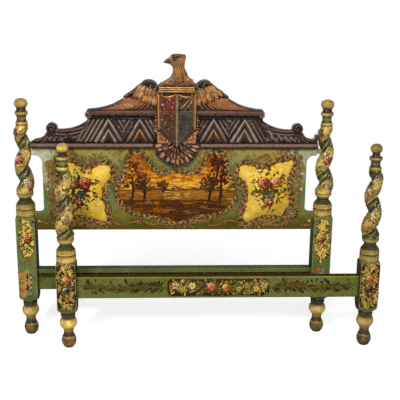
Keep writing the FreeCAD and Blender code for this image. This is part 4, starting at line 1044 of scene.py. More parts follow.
# %% Paint the trees and hang the landscape
TREES = ((-206, 812, 110, 150, 664, "2c1406 9a500c", 70), (-150, 776, 70, 90, 672, "321606 865012", 60),
         (214, 822, 96, 150, 660, "280e04 8a3c08", 70), (160, 772, 80, 80, 676, "2e1a08 784812", 60),
         (196, 884, 60, 50, 790, "28100a 5a200a", 40), (-60, 764, 46, 40, 726, "42240c 7e4e14", 30))
for u, v, wide, tall, foot, codes, count in TREES:
    stroke(panel, [(u, v), (u + 6, (v + foot) / 2), (u - 4, foot)], 6.0, SOOT, UMBER_DEEP, 1.4)
    for k in range(count):
        reach, turn = chance() ** 0.5, roll(0, tau)
        at = u + reach * wide / 2 * cos(turn), v + reach * tall / 2 * sin(turn)
        if inside(at, view_outline):
            sunny = 0.5 + 0.5 * cos(turn) * (1 if u < 0 else -1)
            colour = mixed(*tones(codes), sunny * chance())
            size = roll(12, 22), roll(8, 14)
            place = (*at, 1.5 + 0.004 * k, roll(0, pi), *size, 0.7)
            stamp(panel, PETAL, place, mixed(colour, SOOT, 0.5), colour)
for k in range(40):
    at = VIEW_MIDDLE + pick((-1, 1)) * roll(60, 250), roll(640, 700)
    if inside(at, view_outline):
        leaf(panel, *at, roll(0.9, 2.2), roll(10, 24), SOOT, tone("523410"), 0.3, 1.6)
hang(canvas, "panel_landscape", "headboard", brush_paint)

# %% [markdown]
# ## Raised borders
# Round every field runs a border of raised scrolls. On the bed they were squeezed out in gesso,
# gilded and toned brown, with the crests rubbed to cream; the pale crests here are partly that wear and
# partly painted highlight. A dark bed of dabs comes first, then hoops and commas that lean out and in by
# turns, each a little different as a hand makes them, with bright beads here and there as painted glints.

# %% Set the raised borders
BORDER_STEP, BORDER_SIZE = 12.5, 28


def gold(glow):
    """Dark foot and bright crest of a gilded mark, painted shade and painted highlight over rubbed gilt, from
    dull to shining.
    """
    return mixed(GILT_DEEP, OCHRE_DEEP, 0.4 * glow), mixed(GILT, mixed(OCHRE, TAN_PALE, 0.7), glow)


def scrolled_border(brush, outline, step, size):
    """A dark bed, then hoops and commas along a closed outline, with a bright bead, a painted glint, here and
    there.
    """
    for (u, v, _), out in paces(outline, step * 0.8):
        place = (*polar(u, v, out, 7), 0.7, out - pi / 2 + roll(-0.4, 0.4), size * 1.1,
                 size * roll(0.6, 0.95), 1.2)
        stamp(brush, PETAL, place, GILT_DEEP, mixed(GILT_DEEP, OCHRE_DEEP, chance()))
    for k, ((u, v, _), out) in enumerate(paces(outline, step)):
        colours = gold(chance() ** 1.5)
        scale = size * roll(0.9, 1.3)
        at = polar(u, v, out, roll(0.1, 0.5) * size)
        if k % 2:
            lean = out + pick((-1.0, 1.0)) + roll(-0.3, 0.3)
            stamp(brush, COMMA, (*at, 1.2, lean, scale, scale * 0.8, 4.5), *colours)
        else:
            stamp(brush, HOOP, (*at, 1.2, out + roll(-0.9, 0.3), scale, scale * 0.9, 4.5), *colours)
        # Every fifth mark gets a bright bead: a painted glint.
        if k % 5 == 1:
            bead = (*polar(*at, out, 7), 2.4, out, 9, 6, 4.0)
            stamp(brush, PETAL, bead, OCHRE_DEEP, mixed(OCHRE_PALE, CREAM, 0.6 * chance()))


canvas = new_canvas()
for outline in (*cartouches, view_outline):
    scrolled_border((canvas, panel_easel), outline, BORDER_STEP, BORDER_SIZE)
hang(canvas, "raised_borders", "headboard", gesso_gilt)

# %% [markdown]
# ## Scrollwork on the panel
# Outside the cartouches the painter filled the green with a thicket of brown and gold curls, thickest
# along the top and the outer side, and set a round rosette at the foot of each. Leafy sprays run
# along the lower edge. A point is kept only where it is clear of the fields.

# %% Scrolls, sprigs and rosettes on the green
SPRAYS = ((300, 905, 2.6, 90), (292, 640, 1.9, 70), (600, 880, -1.7, 70), (598, 780, -1.5, 80),
          (250, 928, 0.1, 80), (600, 690, -1.6, 70))
ROSETTE_U, ROSETTE_V = 559, 624
ROSETTE_RINGS = ((13, 27, 20, 0.3), (10, 17, 15, 0.9), (6, 8, 9, 0.0))


def scroll_spray(brush, u, v, turn, long, side, dark, light):
    """A bending stem with commas springing from it on both sides."""
    def at(along, across):
        along, across = along * long, across * long * side
        return u + along * cos(turn) - across * sin(turn), v + along * sin(turn) + across * cos(turn)

    stem = [at(0, 0), at(0.35, 0.13), at(0.7, 0.06), at(1, -0.10)]
    stroke(brush, stem, long * 0.022 + 1.4, dark, light)
    for share in (0.2, 0.4, 0.6, 0.8):
        size = long * 0.28 * (1.15 - share * 0.6)
        for lean in (0.8, -0.8):
            root = at(share, 0.10 * sin(pi * share))
            place = (*root, 0.6, turn + side * lean, size, size * 0.75 * side, 2.4)
            stamp(brush, COMMA, place, dark, light)


def in_the_green(at):
    fields = (*cartouches, view_outline)
    return abs(at[0]) < 612 and 552 < at[1] < 936 and not any(inside(at, field) for field in fields)


canvas = new_canvas()
panel = canvas, panel_easel
for outline in cartouches:
    for (u, v, _), out in paces(outline, 3.6):
        reach = roll(12, 50)
        at = polar(u, v, out, reach)
        outer = abs(at[0]) > 330 and (at[1] > 840 or at[1] < 610 or abs(at[0]) > 540)
        if in_the_green(at) and (outer or reach < 24):
            size = roll(18, 30)
            mark = pick((COMMA, COMMA, HOOP, CURL))
            dark, light = gold(0.6 * chance())
            place = (*at, 0.6, roll(0, tau), size, size * 0.8, 2.2)
            stamp(panel, mark, place, mixed(dark, SAGE_DEEP, 0.3), light)
for (u, v, _), out in paces(view_outline, 7):
    at = polar(u, v, out, roll(16, 40))
    if in_the_green(at):
        dark, light = gold(0.6 * chance())
        place = (*at, 0.6, roll(0, tau), roll(14, 24), 14, 2.2)
        stamp(panel, pick((COMMA, HOOP)), place, mixed(dark, SAGE_DEEP, 0.3), light)
for k, u in enumerate(range(-600, 601, 75)):
    dark, light = gold(0.3 * chance())
    spray = u, 568 + 6 * (k % 2), facing(0.1, u), 84, 1 if k % 2 else -1
    scroll_spray(panel, *spray, dark, mixed(light, SAGE_DEEP, 0.25))
for side in (1, -1):
    for u, v, turn, long in SPRAYS:
        scroll_spray(panel, side * u, v, facing(turn, side), long, side, *gold(0.5 * chance()))
    for u, v in ((606, 820), (604, 742), (650, 585), (640, 925)):
        blossom(panel, side * u, v, 14, CREAM, OCHRE)
    middle = side * ROSETTE_U, ROSETTE_V
    stamp(panel, PETAL, (*middle, 0.8, 0, 74, 70, 2.0), SOOT, GILT_DEEP)
    for ring, (count, reach, size, glow) in enumerate(ROSETTE_RINGS):
        for k in range(count):
            turn = tau * k / count
            place = (*polar(*middle, turn, reach), 1.0 + ring, turn, size, size * 0.6, 1.8)
            stamp(panel, DROP, place, *gold(glow))
    for k in range(6):
        stamp(panel, PETAL, (*polar(*middle, k, 5), 3.4, 0, 4.5, None, 2.0), GILT, CREAM)
hang(canvas, "panel_scrollwork", "headboard", gesso_gilt)

# %% [markdown]
# ## Post fronts
# Each post's block carries a tall spray on its front face: yellow curls, a rose, and a dark flower
# below it. The four differ a little, as they do on the bed: the headboard's lie on ragged yellow
# fields laid in dabs, and the footboard's fill the whole face.

# %% Paint the post fronts
BLOCK_HALF = 45 * MM
FIELD = [(0, 1), (0.8, 0.97), (1, 0.86), (0.96, 0.5), (1, 0.18), (0.75, 0.04), (0, 0)]
FIELD_LOW, FIELD_TALL, FIELD_HALF = 202, 229, 44
AMBER, FIELD_BROWN, BAND_BROWN = tones("b8842a 3c2a08 3a240a")


def block_easel(post):
    axis = post_axis(post)
    return upright(axis.x, axis.y - BLOCK_HALF)


def curl_field(brush, low, high, half, count):
    """A ground of yellow curls and commas with dark outlines within a tall field."""
    for k in range(count):
        share = (k + chance()) / count
        room = half * min(1.0, 2.6 * min(share, 1 - share) + 0.5)
        size = roll(13, 22)
        mark, glow, turn = pick(CURLY), chance(), roll(0, tau)
        v, lift = low + (high - low) * share, 0.4 + 0.01 * (k % 40)
        place = roll(-room, room), v, lift, turn, size, size * 0.8, 2.0
        light = mixed(AMBER, YELLOW_PALE, glow) if glow > 0.12 else pick((OCHRE_DEEP, BRICK, LEAF_DARK))
        stamp(brush, mark, place, mixed(SOOT, YELLOW_DEEP, 0.5 * glow), light)


def dabbed_field(brush, low, high, half, middle, count):
    """A ragged yellow ground laid in short dabs, with dark leaf dabs over it."""
    for k in range(count):
        share = (k + chance()) / count
        room = half * (0.5 + 0.5 * sin(pi * share))
        at = middle + roll(-room, room), low + (high - low) * share
        colour = mixed(YELLOW, YELLOW_PALE, chance()) if k % 4 else OCHRE
        size = roll(14, 24), roll(9, 14)
        place = (*at, 0.3 + 0.006 * (k % 60), roll(0, pi), *size, 0.7)
        stamp(brush, PETAL, place, mixed(colour, YELLOW_DEEP, 0.4), colour)
    for k in range(count // 2):
        share = (2 * k + chance()) / count
        at = middle + roll(-half, half) * 0.9, low + (high - low) * share
        light = pick((LEAF, LEAF_DARK, UMBER, OCHRE_DEEP))
        leaf(brush, *at, roll(0, tau), roll(9, 17), SOOT, light, 0.5, 0.9)


strokes = {board: new_canvas() for board in ("head", "foot")}
grounds = new_canvas()
brush = strokes["head"], block_easel("head_left")
dabbed_field(brush, 418, 596, 32, 4, 130)
leaves(brush, 4, 472, 11, 5, 24)
leaves(brush, 8, 500, 8, 10, 18)
rose(brush, 8, 504, 42, lift=1.2)
blossom(brush, -10, 546, 16, PEACH, BRICK, lift=1.2)
for k in range(6):
    drop = 1 + 2 * (k % 2), 410 - 14 * k, 0.6, pi / 2, 18, 14 - k, 1.4
    stamp(brush, DROP, drop, OCHRE_DEEP, mixed(ORANGE, YELLOW_PALE, 0.15 * k))
for k in range(7):
    bead = 16 + 2 * (k % 2), 322 - 13 * k, 0.6, 0, 8, 11, 1.6
    stamp(brush, PETAL, bead, UMBER_DEEP, CREAM if k % 2 else UMBER)
for k in range(16):
    speck = roll(-42, -4), roll(215, 330), roll(0, tau), roll(8, 18)
    leaf(brush, *speck, UMBER_DEEP, pick((UMBER, BRICK)), 0.4)
brush = strokes["head"], block_easel("head_right")
for low, high, half, count in ((532, 594, 29, 50), (402, 530, 35, 100)):
    dabbed_field(brush, low, high, half, 0, count)
    curl_field(brush, low, high, half - 2, count // 2)
leaves(brush, -2, 470, 8, 6, 20)
rose(brush, -4, 494, 36, ROSE_DEEP, *tones("a8401c e09858"), 1.4)
blossom(brush, 6, 552, 24, YELLOW_PALE, ROSE_DEEP, lift=1.4)
blossom(brush, 6, 432, 22, PEACH, BRICK, lift=1.4)
stamp(brush, DROP, (-4, 386, 0.6, pi / 2, 24, 14, 1.4), OCHRE, CREAM)
for u, v, size, petal in ((-12, 344, 22, tone("c8641e")), (4, 320, 18, CREAM), (-6, 296, 14, YELLOW)):
    blossom(brush, u, v, size, petal, OCHRE_DEEP)
field = smooth([(FIELD_HALF * u, FIELD_LOW + FIELD_TALL * v) for u, v in both_sides(FIELD)], True, 5)
for side, shade in (("left", "cfc4c0"), ("right", "7a6670")):
    brush = strokes["foot"], block_easel(f"foot_{side}")
    coat(grounds, brush[1], field, OCHRE, FIELD_BROWN, 0.5)
    curl_field(brush, 206, 428, 40, 230)
    leaves(brush, 0, 330, 9, 8, 20, lift=1.2)
    rose(brush, 2, 352, 40, BRICK, *tones("c85a1c f0c080"), 1.4)
    leaves(brush, 0, 288, 7, 8, 20, lift=1.2)
    rose(brush, 0, 300, 36, SOOT, tone("2e2028"), tone(shade), 1.4)
print("post fronts painted")

# %% [markdown]
# ## Foot rail
# The footboard's rail has a dark band in the middle, crowded with roses and yellow leaves, and a long
# feathery spray of gilt leaves with dark ones among them on either side of it.

# %% Paint the foot rail
RAIL_MIDDLE = (rail_low.z + rail_high.z) / 2 / MM
BAND_HALF, BAND_TALL, BAND_EDGE, BAND_CURLS = 242.0, 43.0, 12, 260
BAND = [(0, 1), (0.5, 0.96), (0.9, 1), (0.985, 0.7), (1, 0), (0.985, -0.7), (0.9, -1), (0.5, -0.96), (0, -1)]
SPRAY_END, SPRAY_LEAVES = 632.0, 70
SPRAY_STEM = [(BAND_HALF + 6, 0), (330, 7), (450, -2), (560, 4), (SPRAY_END, -2)]
SPRAY_DARK, SPRAY_LIGHT = tones("2c2006 6e5416")
rail = strokes["foot"], rail_easel
band = smooth([(BAND_HALF * u, RAIL_MIDDLE + BAND_TALL * v) for u, v in both_sides(BAND)], closed=True)
coat(grounds, rail_easel, band, SOOT, BAND_BROWN, 0.5)
for k in range(BAND_CURLS):
    u = -BAND_HALF + BAND_EDGE + 2 * (BAND_HALF - BAND_EDGE) * (k + chance()) / BAND_CURLS
    glow = chance() ** (0.6 if abs(u) > 150 else 1.4)
    size, turn = roll(16, 26), roll(0, tau)
    place = u, RAIL_MIDDLE + roll(-34, 34), 0.5 + 0.01 * (k % 30), turn, size, size * 0.7, 1.8
    stamp(rail, pick(CURLY), place, mixed(SOOT, OCHRE_DEEP, glow), mixed(YELLOW_DEEP, YELLOW_PALE, glow))
for u in (-88, 5, 70):
    leaves(rail, u, RAIL_MIDDLE, 12, 8, 26, lift=1.0)
for k, u in enumerate((-205, -168, -124, 96, 134, 178, 214)):
    v = RAIL_MIDDLE + 8 * (-1) ** k
    leaves(rail, u, v, 7, 14, 18, lift=1.0)
    petal = mixed(OCHRE, YELLOW_PALE, chance() ** 0.6)
    blossom(rail, u, v, roll(26, 38), petal, OCHRE_DEEP, pick((5, 6, 7)), 1.2)
    leaves(rail, u, v, 5, 8, 11, lift=1.9)
for u, v, size, pale in ((-32, 2, 46, ROSE_PALE), (37, -3, 42, YELLOW_PALE)):
    leaves(rail, u, RAIL_MIDDLE + v, 9, 16, 22, lift=1.0)
    rose(rail, u, RAIL_MIDDLE + v, size, BRICK, tone("d0702c"), pale, 1.3)
for side in (1, -1):
    stem = [(side * u, RAIL_MIDDLE + v) for u, v in SPRAY_STEM]
    stroke(rail, stem, 3.4, SPRAY_DARK, SPRAY_LIGHT)
    for k in range(SPRAY_LEAVES):
        share = k / (SPRAY_LEAVES - 1)
        u = side * (BAND_HALF + 14 + (SPRAY_END - BAND_HALF - 20) * share)
        way = facing((0.7 if k % 2 else -0.7) * roll(0.5, 1.3), side)
        long = 50 * (1 - 0.4 * share) * roll(0.7, 1.1)
        light = mixed(SPRAY_DARK, SPRAY_LIGHT, chance())
        leaf(rail, u, RAIL_MIDDLE + 4 * sin(9 * share), way, long, SPRAY_DARK, light, 0.24)
    for k in range(26):
        u = side * roll(BAND_HALF + 30, SPRAY_END - 10)
        v = RAIL_MIDDLE + pick((-1, 1)) * roll(10, 30)
        leaf(rail, u, v, roll(0.4, 2.6), roll(14, 24), SOOT, LEAF_DARK, 0.5, 0.8)
dark_coat = painted("dark_coat", tinted(0.0), tinted(0.3), mottle=30.0, wear=0.0, flecks=0.0)
hang(grounds, "foot_painted_grounds", "footboard", dark_coat)
for board, canvas in strokes.items():
    hang(canvas, f"{board}_painted_sprays", f"{board}board", brush_paint)

# %% [markdown]
# ## Flowers on the twisted shafts
# Garlands climb the shafts along the crest of the twist. The shaft's easel is bent round it: for each
# dab a ray cast from outside finds the wood, and the hit's normal lays the dab flat on the curve.

# %% Wind the garlands round the shafts


def easel_on(node, outside, towards):
    """An easel that lies on a node where a ray from outside meets it."""
    hit, point, out, _ = node.ray_cast(outside, towards)
    right = Vector((0, 0, 1)).cross(out).normalized()
    turn = Matrix((right, out.cross(right), out)).transposed().to_4x4()
    return Matrix.Translation(point) @ turn @ Matrix.Diagonal((MM, MM, MM, 1)) if hit else None


class ShaftEasel:
    """An easel wrapped round a shaft: u runs round it from an angle, v up it from a height."""

    def __init__(self, node, axis, around, height):
        self.node, self.axis, self.around, self.height = node, axis, around, height

    def __matmul__(self, place):
        u, v, lift = place.translation
        turn = self.around + u * MM / SHAFT_RADIUS
        way = Vector((cos(turn), sin(turn), 0))
        start = self.axis + way * RAY_START + Vector((0, 0, self.height + v * MM))
        there = place.copy()
        there.translation = (0, 0, lift)
        return easel_on(self.node, start, -way) @ there


SHAFT_RADIUS, RAY_START = 0.034, 0.2
LIGHT_DABS = ((OCHRE_DEEP, YELLOW_PALE), (UMBER, CREAM), (OCHRE_DEEP, YELLOW), (BRICK, PEACH))
DARK_DABS = ((SOOT, GROOVE), (SOOT, BRICK), (GROOVE, SAGE_DEEP), (SOOT, YELLOW_DEEP))
DABS = {"head": 220, "foot": 240}
DAB_MARGIN, ROSE_MARGIN, PATCH_RISE = 12 * MM, 34 * MM, 9 * MM
TWIST_LEAN = 0.62
GARLAND_ROSES = ((42, *tones("5a1a0c a85a34 e8b488")), (36, RUST, tone("d09848"), CREAM))
GARLAND_LEAVES = {"dark": GROOVE, "light": mixed(OLIVE, LEAF, 0.6), "lift": 0.2}
for board, dabs in DABS.items():
    canvas = new_canvas()
    for side in ("left", "right"):
        post = f"{board}_{side}"
        node, (axis, low, high, start) = nodes[f"{post}_column"], shafts[post]
        for k in range(dabs):
            height = low + DAB_MARGIN + (high - low - 2 * DAB_MARGIN) * (k + chance()) / dabs
            around = tau * (height - start) / TWIST_PITCH + roll(-2.2, 2.2)
            size = roll(14, 26)
            place = 0, 0, 0.2, TWIST_LEAN + stray(0, 0.45), size, roll(7, 12), 1.3
            sunny = sin(height / PATCH_RISE + 2.3 * around) + stray(0, 0.5) > 0
            colours = pick(LIGHT_DABS if sunny else DARK_DABS)
            brush = canvas, ShaftEasel(node, axis, around, height)
            stamp(brush, pick((COMMA, LEAF_MARK, HOOP)), place, *colours)
        for k in range(5):
            height = low + ROSE_MARGIN + (high - low - 2 * ROSE_MARGIN) * k / 4
            around = tau * (height - start) / TWIST_PITCH + roll(-0.3, 0.3)
            brush = canvas, ShaftEasel(node, axis, around, height)
            leaves(brush, 0, 0, 9, 12, 14, **GARLAND_LEAVES)
            rose(brush, 0, 0, *GARLAND_ROSES[k % 2], 0.3)
    hang(canvas, f"{board}_shaft_garlands", f"{board}board", twist_paint)

# %% [markdown]
# ## Carving on the crest
# The frieze has gables with nested chevrons, V-shaped flutes between them, and a rounded rim that
# follows the hollow top edge out to the scrolls. Each is a straight or bent gouge line, so a rod of
# eight sides, half sunk in the board, gives the crisp ridge that a carver leaves. Small crumpled leaf
# curls fill what is left.

# %% Carve the frieze
BASE_TOP, LEDGE_LOW, LEDGE_END = 971.0, 1084.0, 409.0
GABLES = (-311.0, -166.0, 178.0, 323.0)
GABLE_HALF = 66.0
GABLE_STEEP = (LEDGE_LOW - BASE_TOP) / GABLE_HALF
FLUTE_STEP, FLUTE_RADIUS = 21, 7.0
CREST_MIDDLE, SLAB_HALF = 6, 92.0
UMBER_GREY, GOLD_EDGE, RED_BROWN = tones("8e7a6c 94693a 5e3a2a")


def ridge(brush, points, radius, light, lift=0.0, flat=0.8):
    """A straight-sided carved ridge through the points."""
    rod(brush, points, [radius] * len(points), SOOT, light, lift, flat)


def worn(light):
    """A crest tone between soot and the given light, as polishing happens to leave it."""
    return mixed(UMBER_DEEP, light, chance() ** 0.8)


def flute(*points):
    ridge(crest, points, FLUTE_RADIUS, worn(UMBER_GREY))


canvas = new_canvas()
crest = canvas, panel_easel
# In each gable the soot ridge between the chevrons and the soot drop at its foot are painted shade in the
# carved gaps.
for k, middle in enumerate(GABLES):
    inner = GOLD_EDGE if k in (1, 2) else mixed(GOLD_EDGE, LILAC, 0.6)
    for half, radius, lift, light in ((GABLE_HALF - 5, 11, 5, UMBER_GREY), (GABLE_HALF - 24, 3.5, 6, SOOT),
                                      (33, 11, 5, inner)):
        top = BASE_TOP + (half + 2) * GABLE_STEEP
        line = [(middle - half, BASE_TOP + 2), (middle, top), (middle + half, BASE_TOP + 2)]
        ridge(crest, line, radius, light, lift)
    stamp(crest, DROP, (middle, BASE_TOP + 10, 9, pi / 2, 22, 24, 5), SOOT, SOOT)
for left, right in (GABLES[:2], GABLES[2:]):
    valley = (left + right) / 2
    for k in (1, 2, 3):
        half = (right - left) / 2 - FLUTE_STEP * k
        point = valley, LEDGE_LOW - half * GABLE_STEEP
        flute((valley - half, LEDGE_LOW), point, (valley + half, LEDGE_LOW))
for side, inner, outer in ((1, *GABLES[2:]), (-1, *GABLES[1::-1])):
    for k in (1, 2, 3, 4):
        shift = side * FLUTE_STEP * k
        foot = outer + side * GABLE_HALF + shift
        top = LEDGE_LOW if abs(outer + shift) < LEDGE_END - 8 else LEDGE_LOW - 30
        flute((foot - side * (top - BASE_TOP) / GABLE_STEEP, top), (foot, BASE_TOP))
        start = inner - shift
        reach = min(GABLE_HALF, abs(start - CREST_MIDDLE) - SLAB_HALF)
        if reach > 6:
            flute((start, LEDGE_LOW), (start - side * reach, LEDGE_LOW - reach * GABLE_STEEP))
for k in range(220):
    u, v = roll(-400, 412), roll(BASE_TOP + 4, LEDGE_LOW - 4)
    rise = (v - BASE_TOP) / (LEDGE_LOW - BASE_TOP)
    gap = min(abs(u - middle) / GABLE_HALF + rise for middle in GABLES)
    if gap > 1.1 and abs(u - CREST_MIDDLE) > SLAB_HALF:
        size = roll(10, 20)
        light = worn(LILAC if k % 4 else UMBER_GREY)
        place = u, v, 3.0, roll(0, tau), size, size * 0.8, 4.5
        stamp(crest, pick((COMMA, LEAF_MARK, HOOP)), place, SOOT, light)
# The soot rod under the ledge is a painted shadow line; a second soot rod runs along the top of the base
# moulding.
for low, lift in ((LEDGE_LOW - 2, 3.0), (BASE_TOP, 4.0)):
    for start, end in ((6 - LEDGE_END, CREST_MIDDLE - SLAB_HALF), (CREST_MIDDLE + SLAB_HALF, LEDGE_END - 6)):
        ridge(crest, [(start, low), (end, low)], 4.5, SOOT, lift, 1.2)
print("gables and flutes carved")

# %% [markdown]
# Beyond the gables the crest sweeps down in a cove to a scroll, and from there to its ends. Pointed
# leaves, all leaning one way, fill the board below the cove.

# %% Rim, scrolls and end leaves
SCROLL_U, SCROLL_V = 574.5, 1034.0
STUD_ROW, LEDGE_FACE = 1104, 28
COVE = [(404, 1062), (428, 1040), (479, 1027), (530, 1022), (556, 1026)]
END = [(594, 1014), (604, 998), (622, 984), (648, 976)]
END_LOW, END_LONG, END_LEAVES = 432, 156, 42
for side in (1, -1):
    for points, radius in ((COVE, 9.0), (END, 7.0)):
        line = on_side(side, points)
        stroke(crest, line, radius, SOOT, RED_BROWN, 2.0, 0.9, False, 2)
        stroke(crest, [(u, v - 15) for u, v in line], 3.4, SOOT, UMBER_GREY, 1.0, 0.8, False)
    scroll = side * SCROLL_U, SCROLL_V
    stamp(crest, CURL, (*scroll, 3.0, -pi / 2, 42, side * 42, 16), SOOT, mixed(RED_BROWN, LILAC, 0.2))
    stamp(crest, PETAL, (*scroll, 4.0, 0, 14, None, 9), SOOT, RED_BROWN)
    stamp(crest, CURL, (side * 402, STUD_ROW, LEDGE_FACE, 0.5, 30, side * 34, 7), SOOT, UMBER_GREY)
    for k in range(END_LEAVES):
        u = END_LOW + END_LONG * (k + chance()) / END_LEAVES
        v = roll(976, 1010 - 0.1 * (u - END_LOW))
        size, lean = roll(20, 34), facing(stray(-0.9, 0.2), side)
        place = side * u, v, 1.5 + 0.02 * k, lean, size, side * size * 0.42, 5.5
        stamp(crest, pick((LEAF_MARK, LEAF_MARK, COMMA)), place, SOOT, worn(LILAC))
    for k in range(7):
        u = CREST_MIDDLE + side * (106 + 12 * (k % 2))
        place = u, 986 + 13 * k, 1.5, facing(2.0, side), 30, side * 28, 6
        stamp(crest, COMMA, place, SOOT, worn(LILAC))
    for k in range(9):
        stud = CREST_MIDDLE + side * (108 + 34 * k), STUD_ROW, LEDGE_FACE, 0, 7, None, 2.4
        stamp(crest, PETAL, stud, SOOT, SOOT)
hang(canvas, "crest_carving", "headboard", carved_wood)

# %% [markdown]
# ## Feathers
# The wings are built as a carver lays them out: long quills sweep from under the coverts down to the
# ledge, the coverts overlap them like roof tiles, and a rounded rim finishes the upper edge. A quill
# is a rod squeezed flat along a bent line between the steepest inner quill and the flattest outer one.

# %% Feather the wings
CREST_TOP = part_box("ledge_left")[1].z / MM
WING_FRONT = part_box("left_wing")[0].y
WING_ROOT, QUILLS = 92.0, 11
QUILL_INNER = ((0.00, 62), (0.03, 42), (0.07, 22), (0.10, 5))
QUILL_OUTER = ((0.44, 60), (0.60, 23), (0.78, 8), (0.965, 3))
COVERTS = (((80, 78), (166, 106), 8, 66, 25), ((84, 106), (150, 124), 6, 58, 24))
RED_TAN, GOLD_TAN = tones("a8663c c0864a")


def feather(brush, u, v, lift, way, long, wide, colour, mark=FEATHER):
    """A carved feather with a raised shaft that starts at a place and points one way."""
    middle = polar(u, v, way, 0.5 * long)
    stamp(brush, mark, (*middle, lift, way, long, wide, 5), SOOT, colour)
    shaft = (*middle, lift + 3.6, way, long * 0.85, 3.4, 2.2)
    stamp(brush, LEAF_MARK, shaft, UMBER, mixed(colour, TAN_PALE, 0.6))


canvas = new_canvas()
wing = canvas, upright(EAGLE_X, WING_FRONT + 6 * MM)
for side, name in ((1, "right_wing"), (-1, "left_wing")):
    low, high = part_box(name)
    tip = (high.x - EAGLE_X if side > 0 else EAGLE_X - low.x) / MM

    def on_wing(share, rise):
        return side * (WING_ROOT + (tip - WING_ROOT) * share), CREST_TOP + rise

    for k in range(QUILLS):
        share = k / (QUILLS - 1)
        points = [on_wing(a + (c - a) * share, b + (d - b) * share)
                  for (a, b), (c, d) in zip(QUILL_INNER, QUILL_OUTER)]
        line = smooth(points, fine=4)
        shares = [t / (len(line) - 1) for t in range(len(line))]
        width = [7.2 * (1.15 - 0.4 * t) * (1 - 0.75 * t ** 6) for t in shares]
        rod(wing, line, width, SOOT, mixed(CHESTNUT, RED_TAN, roll(0.2, 1.0)), 3 - 0.2 * k, 0.7)
    for row, ((u0, v0), (u1, v1), count, long, wide) in enumerate(COVERTS):
        for k in reversed(range(count)):
            share = k / (count - 1)
            way = facing(-1.35 + 0.6 * share + roll(-0.15, 0.15), side)
            colour = mixed(GOLD_TAN, pick((RED_TAN, CHESTNUT, TAN_PALE)), chance())
            at = side * (u0 + (u1 - u0) * share), CREST_TOP + v0 + (v1 - v0) * share
            lift, dull = 6 + 3.0 * row + 0.25 * k, mixed(colour, UMBER, 0.6)
            feather(wing, *at, lift - 1.0, way + 0.3 * side, long * 0.8, wide * 0.7, dull, LEAF_MARK)
            feather(wing, *at, lift, way, long, wide, colour, LEAF_MARK)
    upper = [on_wing(0.0, 121), on_wing(0.03, 127), (side * 126, CREST_TOP + 136), on_wing(0.22, 121),
             on_wing(0.33, 93), on_wing(0.46, 64)]
    lower = [on_wing(0.475, 50), on_wing(0.63, 24.5), on_wing(0.80, 8.5), on_wing(0.975, 1)]
    stroke(wing, upper, 6.0, SOOT, UMBER, 5.0, 1.0, False, 2)
    stroke(wing, lower, 4.5, SOOT, UMBER, 3.0, 1.0, False, 2)
    for u, v, size, turn in ((106, 116, 32, 2.0), (132, 118, 28, 0.5), (98, 92, 24, 3.0)):
        stamp(wing, HOOP, (side * u, CREST_TOP + v, 13, turn, size, side * size, 5), SOOT, LILAC)
hang(canvas, "wing_feathers", "headboard", carved_wood)

# %% [markdown]
# The tail is a fan of three tiers under the shield's point, and short feathers fringe the shield's
# lower edges. Each feather is a rounded blade with a raised shaft, set point outwards.

# %% Fan the tail
FAN_MIDDLE, FRINGE = 968.0, 7
TAIL_PINK = tone("cc9874")
FAN = ((14, 58, 114, 25, 1, 1.46, TAIL_PINK), (10, 36, 88, 22, 5, 1.36, CHESTNUT),
       (6, 12, 56, 20, 8, 1.1, UMBER))
canvas = new_canvas()
fan = canvas, upright(EAGLE_X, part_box("eagle_tail")[0].y + 7 * MM)
for count, near, far, wide, lift, swing, light in FAN:
    for k in range(count):
        way = -pi / 2 + swing * (2 * k / (count - 1) - 1) + roll(-0.07, 0.07)
        colour = mixed(light, pick((TAN, UMBER, UMBER_DEEP)), chance() ** 1.4)
        long, broad = (far - near) * roll(0.74, 1.0), wide * roll(0.7, 1.1)
        place = (*polar(0, FAN_MIDDLE, way, near), lift + roll(0, 2), way + roll(-0.16, 0.16), long, broad)
        feather(fan, *place, colour)
for side in (1, -1):
    for k in range(FRINGE):
        share = k / (FRINGE - 1)
        at = side * (80 - 72 * share), 1038 - 62 * share
        colour = mixed(TAIL_PINK, UMBER, chance() ** 1.5)
        way = facing(-0.55 - 0.5 * share, side) + roll(-0.25, 0.25)
        feather((canvas, eagle_easel), *at, 1.5, way, 34, 17, colour)
hang(canvas, "tail_feathers", "headboard", carved_wood)

# %% [markdown]
# ## Eagle's head and breast
# The joiner's blank is a flat cut-out. A carver would round it over with rasps: a copy of the blank is
# merged, remeshed into even cells and smoothed, which rolls its edges in the same way. The crown, the
# beak and the neck are then tinted by place.

# %% Round the eagle's body
blank = nodes["eagle_body"].data.copy()
bm = bmesh.new()
bm.from_mesh(blank)
bmesh.ops.remove_doubles(bm, verts=bm.verts, dist=0.05 * MM)
holder = show("eagle_blank", settled(bm, blank))
cells = holder.modifiers.new("cells", "REMESH")
cells.mode, cells.voxel_size = "VOXEL", 3.2 * MM
rasp = holder.modifiers.new("rasp", "SMOOTH")
rasp.factor, rasp.iterations = 0.5, 14
rounded = bpy.data.meshes.new_from_object(holder.evaluated_get(bpy.context.evaluated_depsgraph_get()))
bpy.data.objects.remove(holder)
canvas = bmesh.new()
canvas.from_mesh(rounded)
tint = canvas.verts.layers.float_color.new("tint")


def between(value, start, end):
    return min(1.0, max(0.0, (value - start) / (end - start)))


